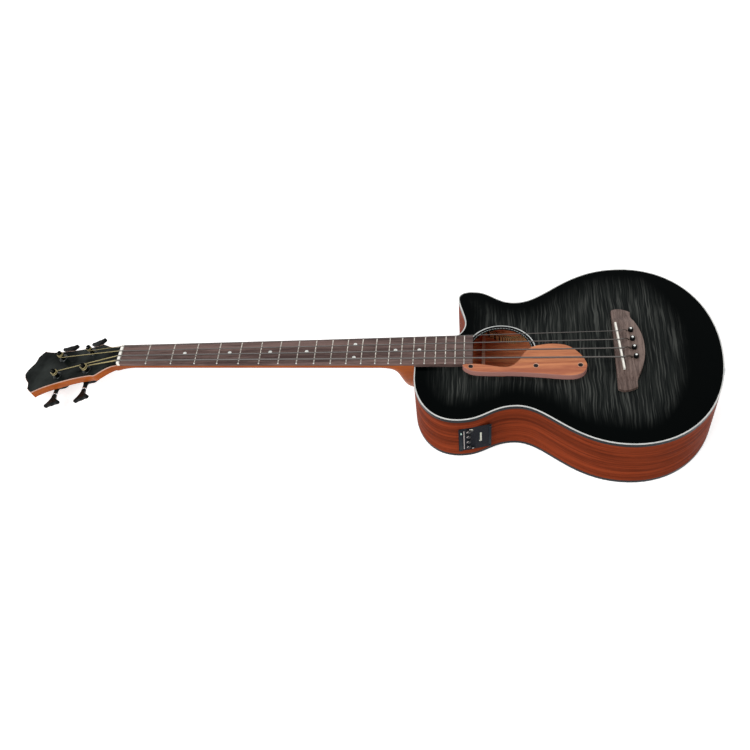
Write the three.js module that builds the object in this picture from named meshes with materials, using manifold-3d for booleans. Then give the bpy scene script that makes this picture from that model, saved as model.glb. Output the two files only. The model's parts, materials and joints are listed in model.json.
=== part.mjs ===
// A four-string acoustic bass guitar with one cutaway, lying on its back.
// Millimetres. x runs from the headstock to the tail, y towards the treble strings, z up.
// The origin is on the flat of the back, under the middle of the body.

import * as THREE from 'three';
import { mergeVertices } from 'three/addons/utils/BufferGeometryUtils.js';
import Module from 'manifold-3d';

const wasm = await Module();
wasm.setup();

// Clearances and cutting
const glue = 0.3;
const running = 0.35;
const overrun = 5;
const weld = 1e-4;

// Roundness: steps in one stretch of the outline, sides of turned pieces
const curveSteps = 8;
const turnedSides = 20;
const smallSides = 12;

// Body box. Widths are half widths, measured from the centre line.
const body = {
  length: 477,
  upper: 134,
  waist: 107.5,
  lower: 179,
  shoulder: 46,
  neckDepth: 94,
  tailDepth: 106.5,
  side: 2.3,
  top: 3.2,
  back: 3,
};

// Where the bouts and the waist lie along the body, and the reach of the curves between them
const alongShare = { upper: 0.148, waist: 0.338, lower: 0.693 };
const reachShare = {
  shoulderOut: 0.49, upperIn: 0.66, upperOut: 0.48, waistIn: 0.46,
  waistOut: 0.28, lowerIn: 0.53, lowerOut: 0.58, tailIn: 0.6,
};

// The cutaway, from the horn to the side of the neck. The first value of each pair is a share of the
// body's length from the neck end, the second a share of the upper half width.
const cutawayShares = {
  horn: [0.184, 1],
  tip: [0.14, 0.887],
  hollow: [0.166, 0.476],
  throat: [0.101, 0.239],
};
const cutawayReachShares = {
  hornOut: 0.026, tipIn: 0.069, tipOut: 0.111, hollowIn: 0.103, hollowOut: 0.13, throatIn: 0.041,
};

const binding = { width: 2.2, height: 6 };
const lining = { width: 6, height: 12 };
const soundhole = { radius: 50, fromBody: 136.6 };

// The rosette is open on the bass side, where its ends lie under the thumb rest. Turns are in degrees.
const rosette = { inner: 51.4, outer: 56.4, depth: 1.2, from: -58, to: 232 };

const neckBlock = { length: 62, width: 74 };
const tailBlock = { length: 22, width: 80 };

// Braces: width, height, and the height left at the ends
const brace = { width: 9, height: 14, tip: 5 };
const cross = { behindHole: 94, angle: 47, upperReach: 148, lowerReach: 196 };
const upperBrace = { aheadOfHole: 66.6, halfLength: 130 };
const toneBar = { behindSaddle: 77.2, halfLength: 104, angle: 12 };
const bridgePlate = { behindSaddle: 16.2, length: 46, halfWidth: 66, thickness: 3 };
const backBrace = { fromBody: [109, 224, 374], gap: 5.4, width: 5.6 };
const backStrip = { width: 20, thickness: 2.4 };

// Neck, headstock and fretboard. The neck's own lengths are measured from the nut. The heel's foot stays
// above the back, and its round bottom would reach a little deeper than that flat foot.
const scaleLength = 812.8;
const fretCount = 21;
const neck = {
  toBody: 492, nutDepth: 13.8, bodyDepth: 17.2, heelLength: 54, heelAbove: 14, heelRound: 4,
};

// Depth of the neck and its heel: share of the way from where the heel starts to the body, share of the
// heel's extra depth. The power makes the neck's section fuller than half an ellipse.
const heelShares = [
  [0, 0], [0.2, 0.05], [0.34, 0.15], [0.44, 0.33], [0.52, 0.6], [0.6, 0.8], [0.72, 0.92], [1, 1],
];
const sectionPower = 0.9;

// Where the neck dives into the headstock: share of the headstock's length, share of the neck's depth
const throatShares = [[0.16, 0.75], [0.06, 0.92]];

const board = { nutWidth: 42, endWidth: 60, overhang: 92.7, thickness: 8, crown: 400, sections: 4 };
const fret = { width: 2.6, height: 1.1, inset: 0.6, sink: 1 };
const nut = { length: 5.2, rise: 2.6, inset: 0.5 };
const trussRod = { radius: 3, from: 12, short: 22, drop: 6 };
const head = { angle: 14, faceDrop: 3.5, thickness: 15, veneer: 2, length: 193.5, halfWidth: 46.5 };

// Half of the headstock's outline: share of its length from the nut, share of its half width
const headShares = [
  [0.003, 0.452], [0.062, 0.456], [0.124, 0.538], [0.171, 0.645], [0.204, 0.72], [0.225, 0.738],
  [0.284, 0.697], [0.434, 0.692], [0.61, 0.753], [0.744, 0.839], [0.842, 0.957], [0.853, 1],
  [0.884, 0.892], [0.915, 0.753], [0.92, 0.624], [0.93, 0.473], [0.961, 0.323], [0.987, 0.172],
  [1, 0],
];

// Bridge and what it holds
const saddleSlant = 0.0745;
const bridge = {
  ahead: 7.8, length: 29.5, bulge: 16, halfWidth: 83.5, height: 9.5, wing: 4.6, wingFrom: 54,
  endRound: 4.5,
};
const saddle = { width: 3, halfLength: 47, depth: 6.5, rise: 5.2 };
const pickup = { height: 1.4, width: 2.4 };
const pin = {
  behind: 21, aside: 5, head: 3.7, headHeight: 6.4, shank: 2.5, tip: 2, length: 24, hole: 2.95,
  domeShare: 0.9,
};

// Strings, from the lowest to the highest. A lane is counted in string spacings from the centre line, and
// the key's turn is how it happens to stand, in degrees.
const strings = [
  { name: 'e', radius: 1.33, lane: -1.5, reach: 59, side: -1, keyTurn: -13 },
  { name: 'a', radius: 1.08, lane: -0.5, reach: 118.5, side: -1, keyTurn: -9 },
  { name: 'd', radius: 0.83, lane: 0.5, reach: 118.5, side: 1, keyTurn: -4 },
  { name: 'g', radius: 0.57, lane: 1.5, reach: 59, side: 1, keyTurn: -12 },
];
const spacing = { nut: 10.5, saddle: 18 };
const stringLift = { nut: 1.8, saddle: 0.35 };
const winding = { turns: 2.5, loopSteps: 24, sides: 6, between: 0.5 };
const ball = { radius: 2.3, length: 4.4 };
const nutCrest = { backShare: 0.8, frontShare: 0.1 };

// Where a string bends over the edge of its pin hole: distance in front of its way down, and height
// above the bridge, both counted in the pin's head radius
const lipShares = [[1.7, 0.95], [0.75, 0.25], [0.2, -0.55], [0, -1.5]];

// Tuners. The key's shaft passes the post on the side away from the nut.
const tuner = {
  offset: 19.3, keyBehind: 12.5, boss: 3.6, bossReach: 20.7,
};
const housing = { forward: 9.3, behind: 18, half: 9.5, depth: 10 };
const bushing = { radius: 5.5, flange: 8, flangeHeight: 2 };
const post = {
  shaft: 3.2, barrel: 3.5, crown: 4.3, crownHeight: 1.6, height: 16.8, slot: 2.8, slotDepth: 5,
  well: 1.5, wellDepth: 8,
};
const wheel = { radius: 8, thickness: 6 };
const worm = { radius: 3.6, length: 14 };
const key = {
  shaft: 2.4, collar: 3.3, collarLength: 2.2, thickness: 6, bevel: 1.2, width: 33, length: 23,
};

// Half of the key's fish tail: share of its half width, share of its length
const keyShares = [
  [0.2, 0], [0.22, 0.2], [0.36, 0.42], [0.68, 0.66], [0.98, 0.82], [1, 0.94], [0.86, 1], [0.45, 0.97],
  [0, 1],
];

// Thumb rest: share of its length from the nut end, share of its width from its bass edge
const thumbRest = { fromBody: 77, length: 192, bassEdge: -57.5, width: 64.5, height: 10.5, bevel: 2 };
const thumbRestShares = [
  [0, 0.36], [0.09, 0.4], [0.2, 0.36], [0.33, 0.29], [0.4, 0.33], [0.46, 0.5],
  [0.5, 0.72], [0.56, 0.9], [0.66, 0.99], [0.77, 1], [0.86, 0.93], [0.94, 0.72], [0.99, 0.46],
  [1, 0.28], [0.97, 0.1], [0.9, 0.01], [0.8, 0.01], [0.62, 0.07], [0.42, 0.12], [0.2, 0.13],
  [0.07, 0.18],
];
const thumbScrew = { radius: 3.4, shank: 1.8, depth: 2 };
const thumbScrewShares = [[0.068, 0.32], [0.594, 0.34], [0.948, 0.34]];

// Preamp in the bass side. Places along it are measured from the neck end of the body, heights from the
// back.
const panel = { from: 72, to: 121, low: 14, high: 73.5, proud: 1.7 };
const box = { from: 76.5, to: 113.5, low: 20, high: 70.5, depth: 22, shelf: 2 };
const battery = { length: 47, width: 26, thickness: 17 };
const knob = {
  fromBody: 87, heights: [68, 55.5, 42, 28.4], radius: 3.7, crown: 3.1, height: 3, skirt: 2.2,
  shaft: 1.5, depth: 4,
};
const display = { from: 103.6, to: 108.4, low: 37, high: 60, proud: 2 };
const button = { fromBody: 93.5, height: 22, radius: 2.2, proud: 3.1, travel: 0.8 };

// Output jack in the tail and the strap button on the heel
const jack = {
  barrel: 6, bore: 3.3, boreDepth: 30, length: 40, neck: 5, neckLength: 7, flange: 8.5,
  flangeLength: 3, washer: 9.5, washerLength: 1.5,
};
const strapButton = {
  ahead: 18, drop: 44, head: 7, neck: 4, waist: 3.2, length: 11, lip: 2.2, stem: 2.4, stemLength: 14,
};

const colours = {
  top: [0x101214, 0.12, 0], sapele: [0x6b2f22, 0.25, 0], back: [0x5e2a20, 0.25, 0],
  white: [0xf0eee6, 0.35, 0], black: [0x0a0a0a, 0.3, 0], spruce: [0xc79a5b, 0.7, 0],
  amber: [0xa5501c, 0.2, 0], rosewood: [0x4a3430, 0.5, 0], walnut: [0x6b5850, 0.5, 0],
  bone: [0xf3f0e4, 0.35, 0], bronze: [0xa98a4e, 0.35, 0.9], blackMetal: [0x111111, 0.3, 0.6],
  steel: [0xb9bcc0, 0.3, 0.9], plastic: [0x0c0c0d, 0.35, 0], glass: [0x2a2f33, 0.1, 0],
  bubinga: [0xa4602f, 0.25, 0], battery: [0x2c2c30, 0.5, 0.2],
};

// Solids: joining and cutting closed meshes
function toSolid(geometry) {
  const bare = geometry.index ? geometry.toNonIndexed() : geometry.clone();
  bare.deleteAttribute('normal');
  bare.deleteAttribute('uv');
  const merged = mergeVertices(bare, weld);
  const vertProperties = merged.attributes.position.array;
  const triVerts = new Uint32Array(merged.index.array);
  return new wasm.Manifold(new wasm.Mesh({ numProp: 3, vertProperties, triVerts }));
}

function toGeometry(solid) {
  const mesh = solid.getMesh();
  return new THREE.BufferGeometry()
    .setAttribute('position', new THREE.BufferAttribute(mesh.vertProperties, 3))
    .setIndex(new THREE.BufferAttribute(mesh.triVerts, 1));
}

function cut(geometry, ...cutters) {
  return toGeometry(cutters.reduce((solid, cutter) => solid.subtract(toSolid(cutter)), toSolid(geometry)));
}

function join(first, ...others) {
  return toGeometry(others.reduce((solid, other) => solid.add(toSolid(other)), toSolid(first)));
}

function common(geometry, region) {
  return toGeometry(toSolid(geometry).intersect(toSolid(region)));
}

// Basic shapes
function block(x0, x1, y0, y1, z0, z1) {
  return new THREE.BoxGeometry(x1 - x0, y1 - y0, z1 - z0)
    .translate((x0 + x1) / 2, (y0 + y1) / 2, (z0 + z1) / 2);
}

function turned(profile, sides = turnedSides) {
  const points = profile.map(([radius, height]) => new THREE.Vector2(radius, height));
  return new THREE.LatheGeometry(points, sides).rotateX(Math.PI / 2);
}

function rod(radius, low, high, sides = turnedSides) {
  return turned([[0, low], [radius, low], [radius, high], [0, high]], sides);
}

function shapeOf(points) {
  return new THREE.Shape(points.map(([x, y]) => new THREE.Vector2(x, y)));
}

function levelAt(height, x) {
  return typeof height === 'function' ? height(x) : height;
}

// A straight-walled solid over a shape, between two heights that may change along x
function prism(shape, low, high) {
  const options = { depth: 1, bevelEnabled: false, curveSegments: curveSteps };
  const geometry = new THREE.ExtrudeGeometry(shape, options);
  const place = geometry.attributes.position;
  for (let i = 0; i < place.count; i += 1) {
    place.setZ(i, levelAt(place.getZ(i) > 0 ? high : low, place.getX(i)));
  }
  return geometry;
}

// A closed solid through rings of equally many points, with flat ends
function loft(rings) {
  const positions = rings.flatMap((ring) => ring.flatMap((point) => point.toArray()));
  const count = rings[0].length;
  const faces = [];
  for (let r = 0; r + 1 < rings.length; r += 1) {
    for (let i = 0; i < count; i += 1) {
      const [a, b] = [r * count + i, r * count + ((i + 1) % count)];
      faces.push(a, b, a + count, b, b + count, a + count);
    }
  }
  const last = (rings.length - 1) * count;
  for (let i = 1; i + 1 < count; i += 1) {
    faces.push(0, i + 1, i, last, last + i, last + i + 1);
  }
  return new THREE.BufferGeometry()
    .setAttribute('position', new THREE.Float32BufferAttribute(positions, 3))
    .setIndex(faces);
}

// A curve that steps from point to point, so that a tube gets one ring at each of them
class Route extends THREE.Curve {
  constructor(points) {
    super();
    this.points = points;
  }

  getPoint(t, target = new THREE.Vector3()) {
    return target.copy(this.points[Math.round(t * (this.points.length - 1))]);
  }

  getPointAt(t, target) {
    return this.getPoint(t, target);
  }

  getTangentAt(t, target = new THREE.Vector3()) {
    const last = this.points.length - 1;
    const i = Math.round(t * last);
    const before = this.points[Math.max(i - 1, 0)];
    const after = this.points[Math.min(i + 1, last)];
    return target.subVectors(after, before).normalize();
  }
}

function tube(points, radius, sides) {
  const section = new THREE.Shape();
  for (let i = 0; i < sides; i += 1) {
    const angle = (2 * Math.PI * i) / sides;
    const move = i === 0 ? 'moveTo' : 'lineTo';
    section[move](radius * Math.cos(angle), radius * Math.sin(angle));
  }
  const options = { steps: points.length - 1, extrudePath: new Route(points), curveSegments: 1 };
  return new THREE.ExtrudeGeometry(section, options);
}

const model = new THREE.Group();

function add(parent, name, geometry, [color, roughness, metalness]) {
  const material = new THREE.MeshStandardMaterial({ color, roughness, metalness });
  const mesh = new THREE.Mesh(geometry, material);
  mesh.name = name;
  parent.add(mesh);
  return mesh;
}

// The frames that pieces are placed in. The soundboard's frame starts under the nut, on the plane of the
// soundboard, which rises towards the tail. The headstock's frame lies on its face.
const rise = (body.tailDepth - body.neckDepth) / body.length;
const tilt = Math.atan(rise);
const neckEnd = -body.length / 2;
const nutX = neckEnd - neck.toBody * Math.cos(tilt);
const boardTop = glue + board.thickness;
const boardLength = neck.toBody + board.overhang;
const heelFrom = neck.toBody - neck.heelLength;
const heelFlat = body.neckDepth - neck.heelAbove;
const heelDepth = heelFlat + neck.heelRound;
const holeFromNut = neck.toBody + soundhole.fromBody;
const bridgeFront = scaleLength - bridge.ahead;

const onTop = new THREE.Group();
onTop.position.set(nutX, 0, body.neckDepth - neck.toBody * Math.sin(tilt));
onTop.rotation.y = -tilt;
model.add(onTop);

const onHead = new THREE.Group();
onHead.position.set(-nut.length - glue, 0, boardTop - head.faceDrop);
onHead.rotation.y = -THREE.MathUtils.degToRad(head.angle);
onTop.add(onHead);
model.updateMatrixWorld(true);

function topAt(x) {
  return body.neckDepth + (x - neckEnd) * rise;
}

function underTop(drop) {
  return (x) => topAt(x) - drop;
}

// Row x of a place on the body, from its distance to the nut or to the neck end of the body
function bodyX(fromNut) {
  return nutX + fromNut * Math.cos(tilt);
}

function alongBody(fromBody) {
  return bodyX(neck.toBody + fromBody);
}

function inBody(geometry) {
  return geometry.clone().applyMatrix4(onTop.matrixWorld);
}

// Body outline
function bodyOutline() {
  const at = (share) => neckEnd + share * body.length;
  const tail = -neckEnd;
  const path = new THREE.Shape();
  const places = [
    [at(alongShare.upper), body.upper, reachShare.upperOut],
    [at(alongShare.waist), body.waist, reachShare.waistOut],
    [at(alongShare.lower), body.lower, reachShare.lowerOut],
  ];
  const arrive = [reachShare.waistIn, reachShare.lowerIn];
  const [upper, waist, lower] = places;

  path.moveTo(neckEnd, 0);
  path.lineTo(neckEnd, -body.shoulder);
  path.bezierCurveTo(
    neckEnd, -body.shoulder - reachShare.shoulderOut * (body.upper - body.shoulder),
    upper[0] - reachShare.upperIn * (upper[0] - neckEnd), -body.upper, upper[0], -body.upper,
  );
  [[upper, waist, arrive[0]], [waist, lower, arrive[1]]].forEach(([from, to, share]) => {
    const span = to[0] - from[0];
    path.bezierCurveTo(from[0] + from[2] * span, -from[1], to[0] - share * span, -to[1], to[0], -to[1]);
  });
  const tailSpan = reachShare.lowerOut * (tail - lower[0]);
  path.bezierCurveTo(
    lower[0] + tailSpan, -body.lower, tail, -reachShare.tailIn * body.lower, tail, 0,
  );
  path.bezierCurveTo(
    tail, reachShare.tailIn * body.lower, lower[0] + tailSpan, body.lower, lower[0], body.lower,
  );
  const lowerSpan = lower[0] - waist[0];
  path.bezierCurveTo(
    lower[0] - arrive[1] * lowerSpan, body.lower, waist[0] + waist[2] * lowerSpan, body.waist,
    waist[0], body.waist,
  );
  cutaway(path, waist, at, arrive[0]);
  path.lineTo(neckEnd, 0);
  return path.getPoints(curveSteps).map((point) => [point.x, point.y]).slice(0, -1);
}

function cutaway(path, waist, at, waistShare) {
  const [horn, tip, hollow, throat] = ['horn', 'tip', 'hollow', 'throat'].map((name) => {
    const [along, across] = cutawayShares[name];
    return [at(along), across * body.upper];
  });
  const reach = (name) => cutawayReachShares[name] * body.upper;
  const along = (name) => cutawayReachShares[name] * body.length;
  const span = waist[0] - horn[0];
  path.bezierCurveTo(
    waist[0] - waistShare * span, body.waist, horn[0] + reachShare.upperOut * span, horn[1], ...horn,
  );
  path.bezierCurveTo(horn[0] - along('hornOut'), horn[1], tip[0], tip[1] + reach('tipIn'), ...tip);
  path.bezierCurveTo(
    tip[0], tip[1] - reach('tipOut'), hollow[0], hollow[1] + reach('hollowIn'), ...hollow,
  );
  path.bezierCurveTo(
    hollow[0], hollow[1] - reach('hollowOut'), throat[0] + along('throatIn'), throat[1], ...throat,
  );
  path.lineTo(neckEnd, throat[1]);
}

// The outline drawn in by a distance, or let out when the distance is negative
function inset(points, distance) {
  return points.map(([x, y], i) => {
    const [bx, by] = points[(i + points.length - 1) % points.length];
    const [ax, ay] = points[(i + 1) % points.length];
    const into = new THREE.Vector2(by - y, x - bx).normalize();
    const out = new THREE.Vector2(y - ay, ax - x).normalize();
    const step = distance / (1 + into.dot(out));
    return [x + (into.x + out.x) * step, y + (into.y + out.y) * step];
  });
}

const outline = bodyOutline();

function ring(outer, inner) {
  const shape = shapeOf(inset(outline, outer));
  shape.holes.push(new THREE.Path(inset(outline, inner).map(([x, y]) => new THREE.Vector2(x, y))));
  return shape;
}

const hole = { x: bodyX(holeFromNut) };

// Places in the soundboard's frame: the saddle's line, and each pin, which has its string in front of it
function saddleX(y) {
  return scaleLength - saddleSlant * y;
}

function pinPlace(string) {
  const y = string.lane * spacing.saddle;
  return [saddleX(y) + pin.behind, y + pin.aside, 0];
}

function pinHole(string) {
  const depth = bridge.height + pin.length + overrun;
  return rod(pin.hole, -depth, depth, smallSides).translate(...pinPlace(string));
}

// Strings
const headIn = onHead.matrix;

function windingPoints(string, start) {
  const nutPoint = start.clone().applyMatrix4(headIn.clone().invert());
  const centre = new THREE.Vector2(-string.reach, string.side * tuner.offset);
  const toNut = new THREE.Vector2(nutPoint.x, nutPoint.y).sub(centre);
  const radius = post.barrel + running + string.radius;
  const turn = -string.side;
  const first = toNut.angle() + turn * Math.acos(radius / toNut.length());
  const pitch = 2 * string.radius + winding.between;
  const high = post.height - post.crownHeight - running - string.radius;
  const low = high - winding.turns * pitch;
  const points = [];
  for (let i = 0; i <= winding.turns * winding.loopSteps; i += 1) {
    const loops = i / winding.loopSteps;
    const angle = first + turn * 2 * Math.PI * loops;
    points.push(new THREE.Vector3(
      centre.x + radius * Math.cos(angle), centre.y + radius * Math.sin(angle), low + pitch * loops,
    ));
  }
  reportGap(string, points);
  return points.reverse().map((point) => point.applyMatrix4(headIn));
}

// Prints the least distance between the skins of two loops of a winding
function reportGap(string, points) {
  let least = Infinity;
  const apart = winding.loopSteps / 2;
  points.forEach((a, i) => {
    points.slice(i + apart).forEach((b) => {
      least = Math.min(least, a.distanceTo(b) - 2 * string.radius);
    });
  });
  console.log(`string ${string.name}: least gap between loops ${least.toFixed(2)} mm`);
}

function stringPoints(string) {
  const nutY = string.lane * spacing.nut;
  const y = string.lane * spacing.saddle;
  const nutZ = boardTop + stringLift.nut + string.radius;
  const atNut = [nutCrest.backShare, nutCrest.frontShare].map((share) => (
    new THREE.Vector3(-share * nut.length, nutY, nutZ)
  ));
  const saddleZ = glue + bridge.height + saddle.rise + stringLift.saddle + string.radius;
  const atSaddle = new THREE.Vector3(saddleX(y), y, saddleZ);
  const [pinX, pinY] = pinPlace(string);
  const down = pinX - pin.shank - running - string.radius;
  const bridgeTop = glue + bridge.height;
  const over = lipShares.map(([ahead, above]) => (
    new THREE.Vector3(down - ahead * pin.head, pinY, bridgeTop + above * pin.head)
  ));
  const end = new THREE.Vector3(down, pinY, ballTop() - ball.length / 2);
  return [...windingPoints(string, atNut[0]), ...atNut, atSaddle, ...over, end];
}

const stringRoutes = new Map(strings.map((string) => [string, stringPoints(string)]));

function ballTop() {
  return -(body.top + glue + bridgePlate.thickness + glue);
}

// The stretch of a string from the saddle down to its ball, and the stretch over the nut, as cutters
function stringCutter(string) {
  const points = stringRoutes.get(string).slice(-lipShares.length - 2);
  return tube(points, string.radius + running, winding.sides);
}

function nutCutter(string) {
  const loops = winding.turns * winding.loopSteps;
  const points = stringRoutes.get(string).slice(loops, loops + 4);
  return tube(points, string.radius + running, winding.sides);
}

function addStrings() {
  strings.forEach((string) => {
    const points = stringRoutes.get(string);
    const run = tube(points, string.radius, winding.sides);
    const end = points.at(-1);
    const stop = rod(ball.radius, -ball.length / 2, ball.length / 2, smallSides)
      .rotateX(Math.PI / 2)
      .translate(end.x + string.radius - ball.radius, end.y, end.z);
    add(onTop, `string_${string.name}`, join(run, stop), colours.bronze);
  });
}

// Body box
function bodyBox() {
  const topCutters = [
    inBody(rod(soundhole.radius, -overrun, overrun, 3 * smallSides).translate(holeFromNut, 0, 0)),
    ...strings.flatMap((string) => [inBody(pinHole(string)), inBody(stringCutter(string))]),
    rosetteRing(glue),
  ];
  const plate = shapeOf(inset(outline, binding.width + glue));
  add(model, 'soundboard', cut(prism(plate, underTop(body.top), underTop(0)), ...topCutters), colours.top);
  add(model, 'rosette', rosetteRing(0), colours.white);
  add(model, 'back_plate', prism(plate, 0, body.back), colours.back);
  const bindingRing = ring(0, binding.width);
  add(model, 'top_binding', prism(bindingRing, underTop(binding.height), underTop(0)), colours.white);
  add(model, 'back_binding', prism(bindingRing, 0, binding.height), colours.black);

  const high = underTop(binding.height + glue);
  const wall = cut(prism(ring(0, body.side), binding.height + glue, high), ...sideCutters());
  const reach = 2 * body.lower;
  const near = block(-body.length, body.length, -reach, -glue / 2, -overrun, body.tailDepth + overrun);
  const far = near.clone().translate(0, reach + glue / 2, 0);
  add(model, 'side_bass', common(wall, near), colours.sapele);
  add(model, 'side_treble', common(wall, far), colours.sapele);

  add(model, 'top_lining', cut(topLining(0), boxRoom()), colours.spruce);
  add(model, 'back_lining', cut(backLining(0), boxRoom()), colours.spruce);
}

function rosetteRing(extra) {
  const open = extra / rosette.inner;
  const from = THREE.MathUtils.degToRad(rosette.from) - open;
  const to = THREE.MathUtils.degToRad(rosette.to) + open;
  const shape = new THREE.Shape().absarc(hole.x, 0, rosette.outer + extra, from, to);
  shape.absarc(hole.x, 0, rosette.inner - extra, to, from, true);
  return prism(shape, underTop(rosette.depth + extra), underTop(-2 * extra));
}

const liningOut = Math.max(binding.width, body.side) + glue;
const betweenLinings = prism(shapeOf(inset(outline, liningOut + lining.width + glue)), 0, body.tailDepth);

function topLining(extra) {
  const shape = ring(liningOut - extra, liningOut + lining.width + extra);
  const low = body.top + glue + lining.height + extra;
  return prism(shape, underTop(low), underTop(body.top + glue - extra));
}

function backLining(extra) {
  const shape = ring(liningOut - extra, liningOut + lining.width + extra);
  const low = body.back + glue - extra;
  return prism(shape, low, low + lining.height + 2 * extra);
}

function insideOutline() {
  return prism(shapeOf(inset(outline, liningOut)), -overrun, body.tailDepth + overrun);
}

function blocks() {
  const low = body.back + glue;
  const high = underTop(body.top + glue);
  const neckShape = shapeOf([
    [neckEnd, -neckBlock.width / 2], [neckEnd + neckBlock.length, -neckBlock.width / 2],
    [neckEnd + neckBlock.length, neckBlock.width / 2], [neckEnd, neckBlock.width / 2],
  ]);
  const tailShape = shapeOf([
    [-neckEnd - tailBlock.length, -tailBlock.width / 2], [-neckEnd, -tailBlock.width / 2],
    [-neckEnd, tailBlock.width / 2], [-neckEnd - tailBlock.length, tailBlock.width / 2],
  ]);
  const linings = [topLining(glue), backLining(glue)];
  const inside = insideOutline();
  const jackHole = jackPlace(rod(jack.barrel + glue, -jack.length - overrun, overrun));
  const neckWood = cut(common(prism(neckShape, low, high), inside), ...linings);
  const tailWood = cut(common(prism(tailShape, low, high), inside), ...linings, jackHole);
  add(model, 'neck_block', neckWood, colours.spruce);
  add(model, 'tail_block', tailWood, colours.spruce);
}

// A bar along y whose height falls towards its ends, standing on z = 0
function bar(halfLength, width = brace.width) {
  const { height } = brace;
  const scoop = halfLength / 3;
  const shape = shapeOf([
    [-halfLength, 0], [halfLength, 0], [halfLength, brace.tip], [halfLength - scoop, height],
    [-halfLength + scoop, height], [-halfLength, brace.tip],
  ]);
  const options = { depth: width, bevelEnabled: false };
  return new THREE.ExtrudeGeometry(shape, options)
    .rotateX(Math.PI / 2)
    .rotateZ(Math.PI / 2)
    .translate(-width / 2, 0, 0);
}

// Hangs a bar under the soundboard
function hang(geometry, x, angle, y = 0) {
  return geometry
    .rotateX(Math.PI)
    .rotateZ(THREE.MathUtils.degToRad(angle))
    .translate(0, y, 0)
    .rotateY(-tilt)
    .translate(x, 0, topAt(x) - body.top - glue);
}

function braces() {
  const x = bodyX(holeFromNut + cross.behindHole);
  const half = (cross.upperReach + cross.lowerReach) / 2;
  const shift = (cross.lowerReach - cross.upperReach) / 2;
  const leg = (side, extra) => {
    const grown = 1 + (4 * extra) / brace.width;
    const bare = bar(half).translate(0, side * shift, 0).scale(grown, 1, grown).translate(0, 0, -extra);
    return hang(bare, x, side * cross.angle);
  };
  const size = 2 * brace.width;
  const middle = topAt(x) - body.top - glue - brace.height / 2;
  const low = block(x - size, x + size, -size, size, middle - brace.height, middle + glue / 2);
  const high = block(x - size, x + size, -size, size, middle - glue / 2, middle + brace.height);
  add(model, 'x_brace_bass', cut(leg(1, 0), common(leg(-1, glue), low)), colours.spruce);
  add(model, 'x_brace_treble', cut(leg(-1, 0), common(leg(1, glue), high)), colours.spruce);

  const upper = hang(bar(upperBrace.halfLength), bodyX(holeFromNut - upperBrace.aheadOfHole), 0);
  const trimmed = common(upper, betweenLinings);
  add(model, 'upper_brace', cut(trimmed, neckBlockZone()), colours.spruce);
  const tone = hang(bar(toneBar.halfLength), bodyX(scaleLength + toneBar.behindSaddle), toneBar.angle);
  add(model, 'tone_bar', cut(tone, leg(1, glue), leg(-1, glue)), colours.spruce);

  const plateX = bodyX(scaleLength + bridgePlate.behindSaddle);
  const plateShape = shapeOf([
    [plateX - bridgePlate.length / 2, -bridgePlate.halfWidth],
    [plateX + bridgePlate.length / 2, -bridgePlate.halfWidth],
    [plateX + bridgePlate.length / 2, bridgePlate.halfWidth],
    [plateX - bridgePlate.length / 2, bridgePlate.halfWidth],
  ]);
  const drop = body.top + glue;
  const plate = prism(plateShape, underTop(drop + bridgePlate.thickness), underTop(drop));
  const holes = strings.flatMap((string) => [inBody(pinHole(string)), inBody(stringCutter(string))]);
  add(model, 'bridge_plate', cut(plate, ...holes), colours.walnut);
}

function neckBlockZone() {
  const reach = neckEnd + neckBlock.length + glue;
  return block(neckEnd, reach, -neckBlock.width, neckBlock.width, 0, body.tailDepth);
}

function halfWidthAt(x) {
  const crossing = outline.findIndex(([px], i) => px <= x && outline[i + 1][0] > x);
  const [x0, y0] = outline[crossing];
  const [x1, y1] = outline[crossing + 1];
  return -(y0 + ((x - x0) / (x1 - x0)) * (y1 - y0));
}

function backBraces() {
  const low = body.back + glue;
  const stripEnd = tailBlock.length + body.side + glue;
  const stripFrom = neckEnd + neckBlock.length + glue;
  const strip = block(stripFrom, -neckEnd - stripEnd, -backStrip.width / 2, backStrip.width / 2,
    low, low + backStrip.thickness);
  add(model, 'back_strip', strip, colours.spruce);
  const over = block(-body.length, body.length, -backStrip.width / 2 - glue,
    backStrip.width / 2 + glue, 0, low + backStrip.thickness + glue);
  backBrace.fromBody.forEach((fromBody, i) => {
    const x = alongBody(fromBody);
    const half = halfWidthAt(x) - liningOut - lining.width - backBrace.gap;
    const piece = common(bar(half, backBrace.width).translate(x, 0, low), betweenLinings);
    add(model, `back_brace_${i + 1}`, cut(piece, over), colours.spruce);
  });
}

// Neck, heel and headstock
function neckRing(x, halfWidth, depth, flat = depth) {
  const points = [];
  const half = smallSides;
  for (let i = 0; i <= half; i += 1) {
    const angle = (Math.PI * i) / half;
    const z = Math.max(-depth * Math.sin(angle) ** sectionPower, -flat);
    points.push(new THREE.Vector3(x, -halfWidth * Math.cos(angle), z));
  }
  return points;
}

function boardHalfWidth(x) {
  return (board.nutWidth + ((board.endWidth - board.nutWidth) * x) / boardLength) / 2;
}

function headOutline() {
  const one = headShares.map(([along, across]) => [-along * head.length, across * head.halfWidth]);
  const other = one.slice(0, -1).reverse().map(([x, y]) => [x, -y]);
  return [...one, ...other];
}

function headHoles(radius) {
  return strings.map((string) => (
    rod(radius, -head.thickness - overrun, overrun, smallSides)
      .translate(-string.reach, string.side * tuner.offset, 0)
  ));
}

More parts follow.
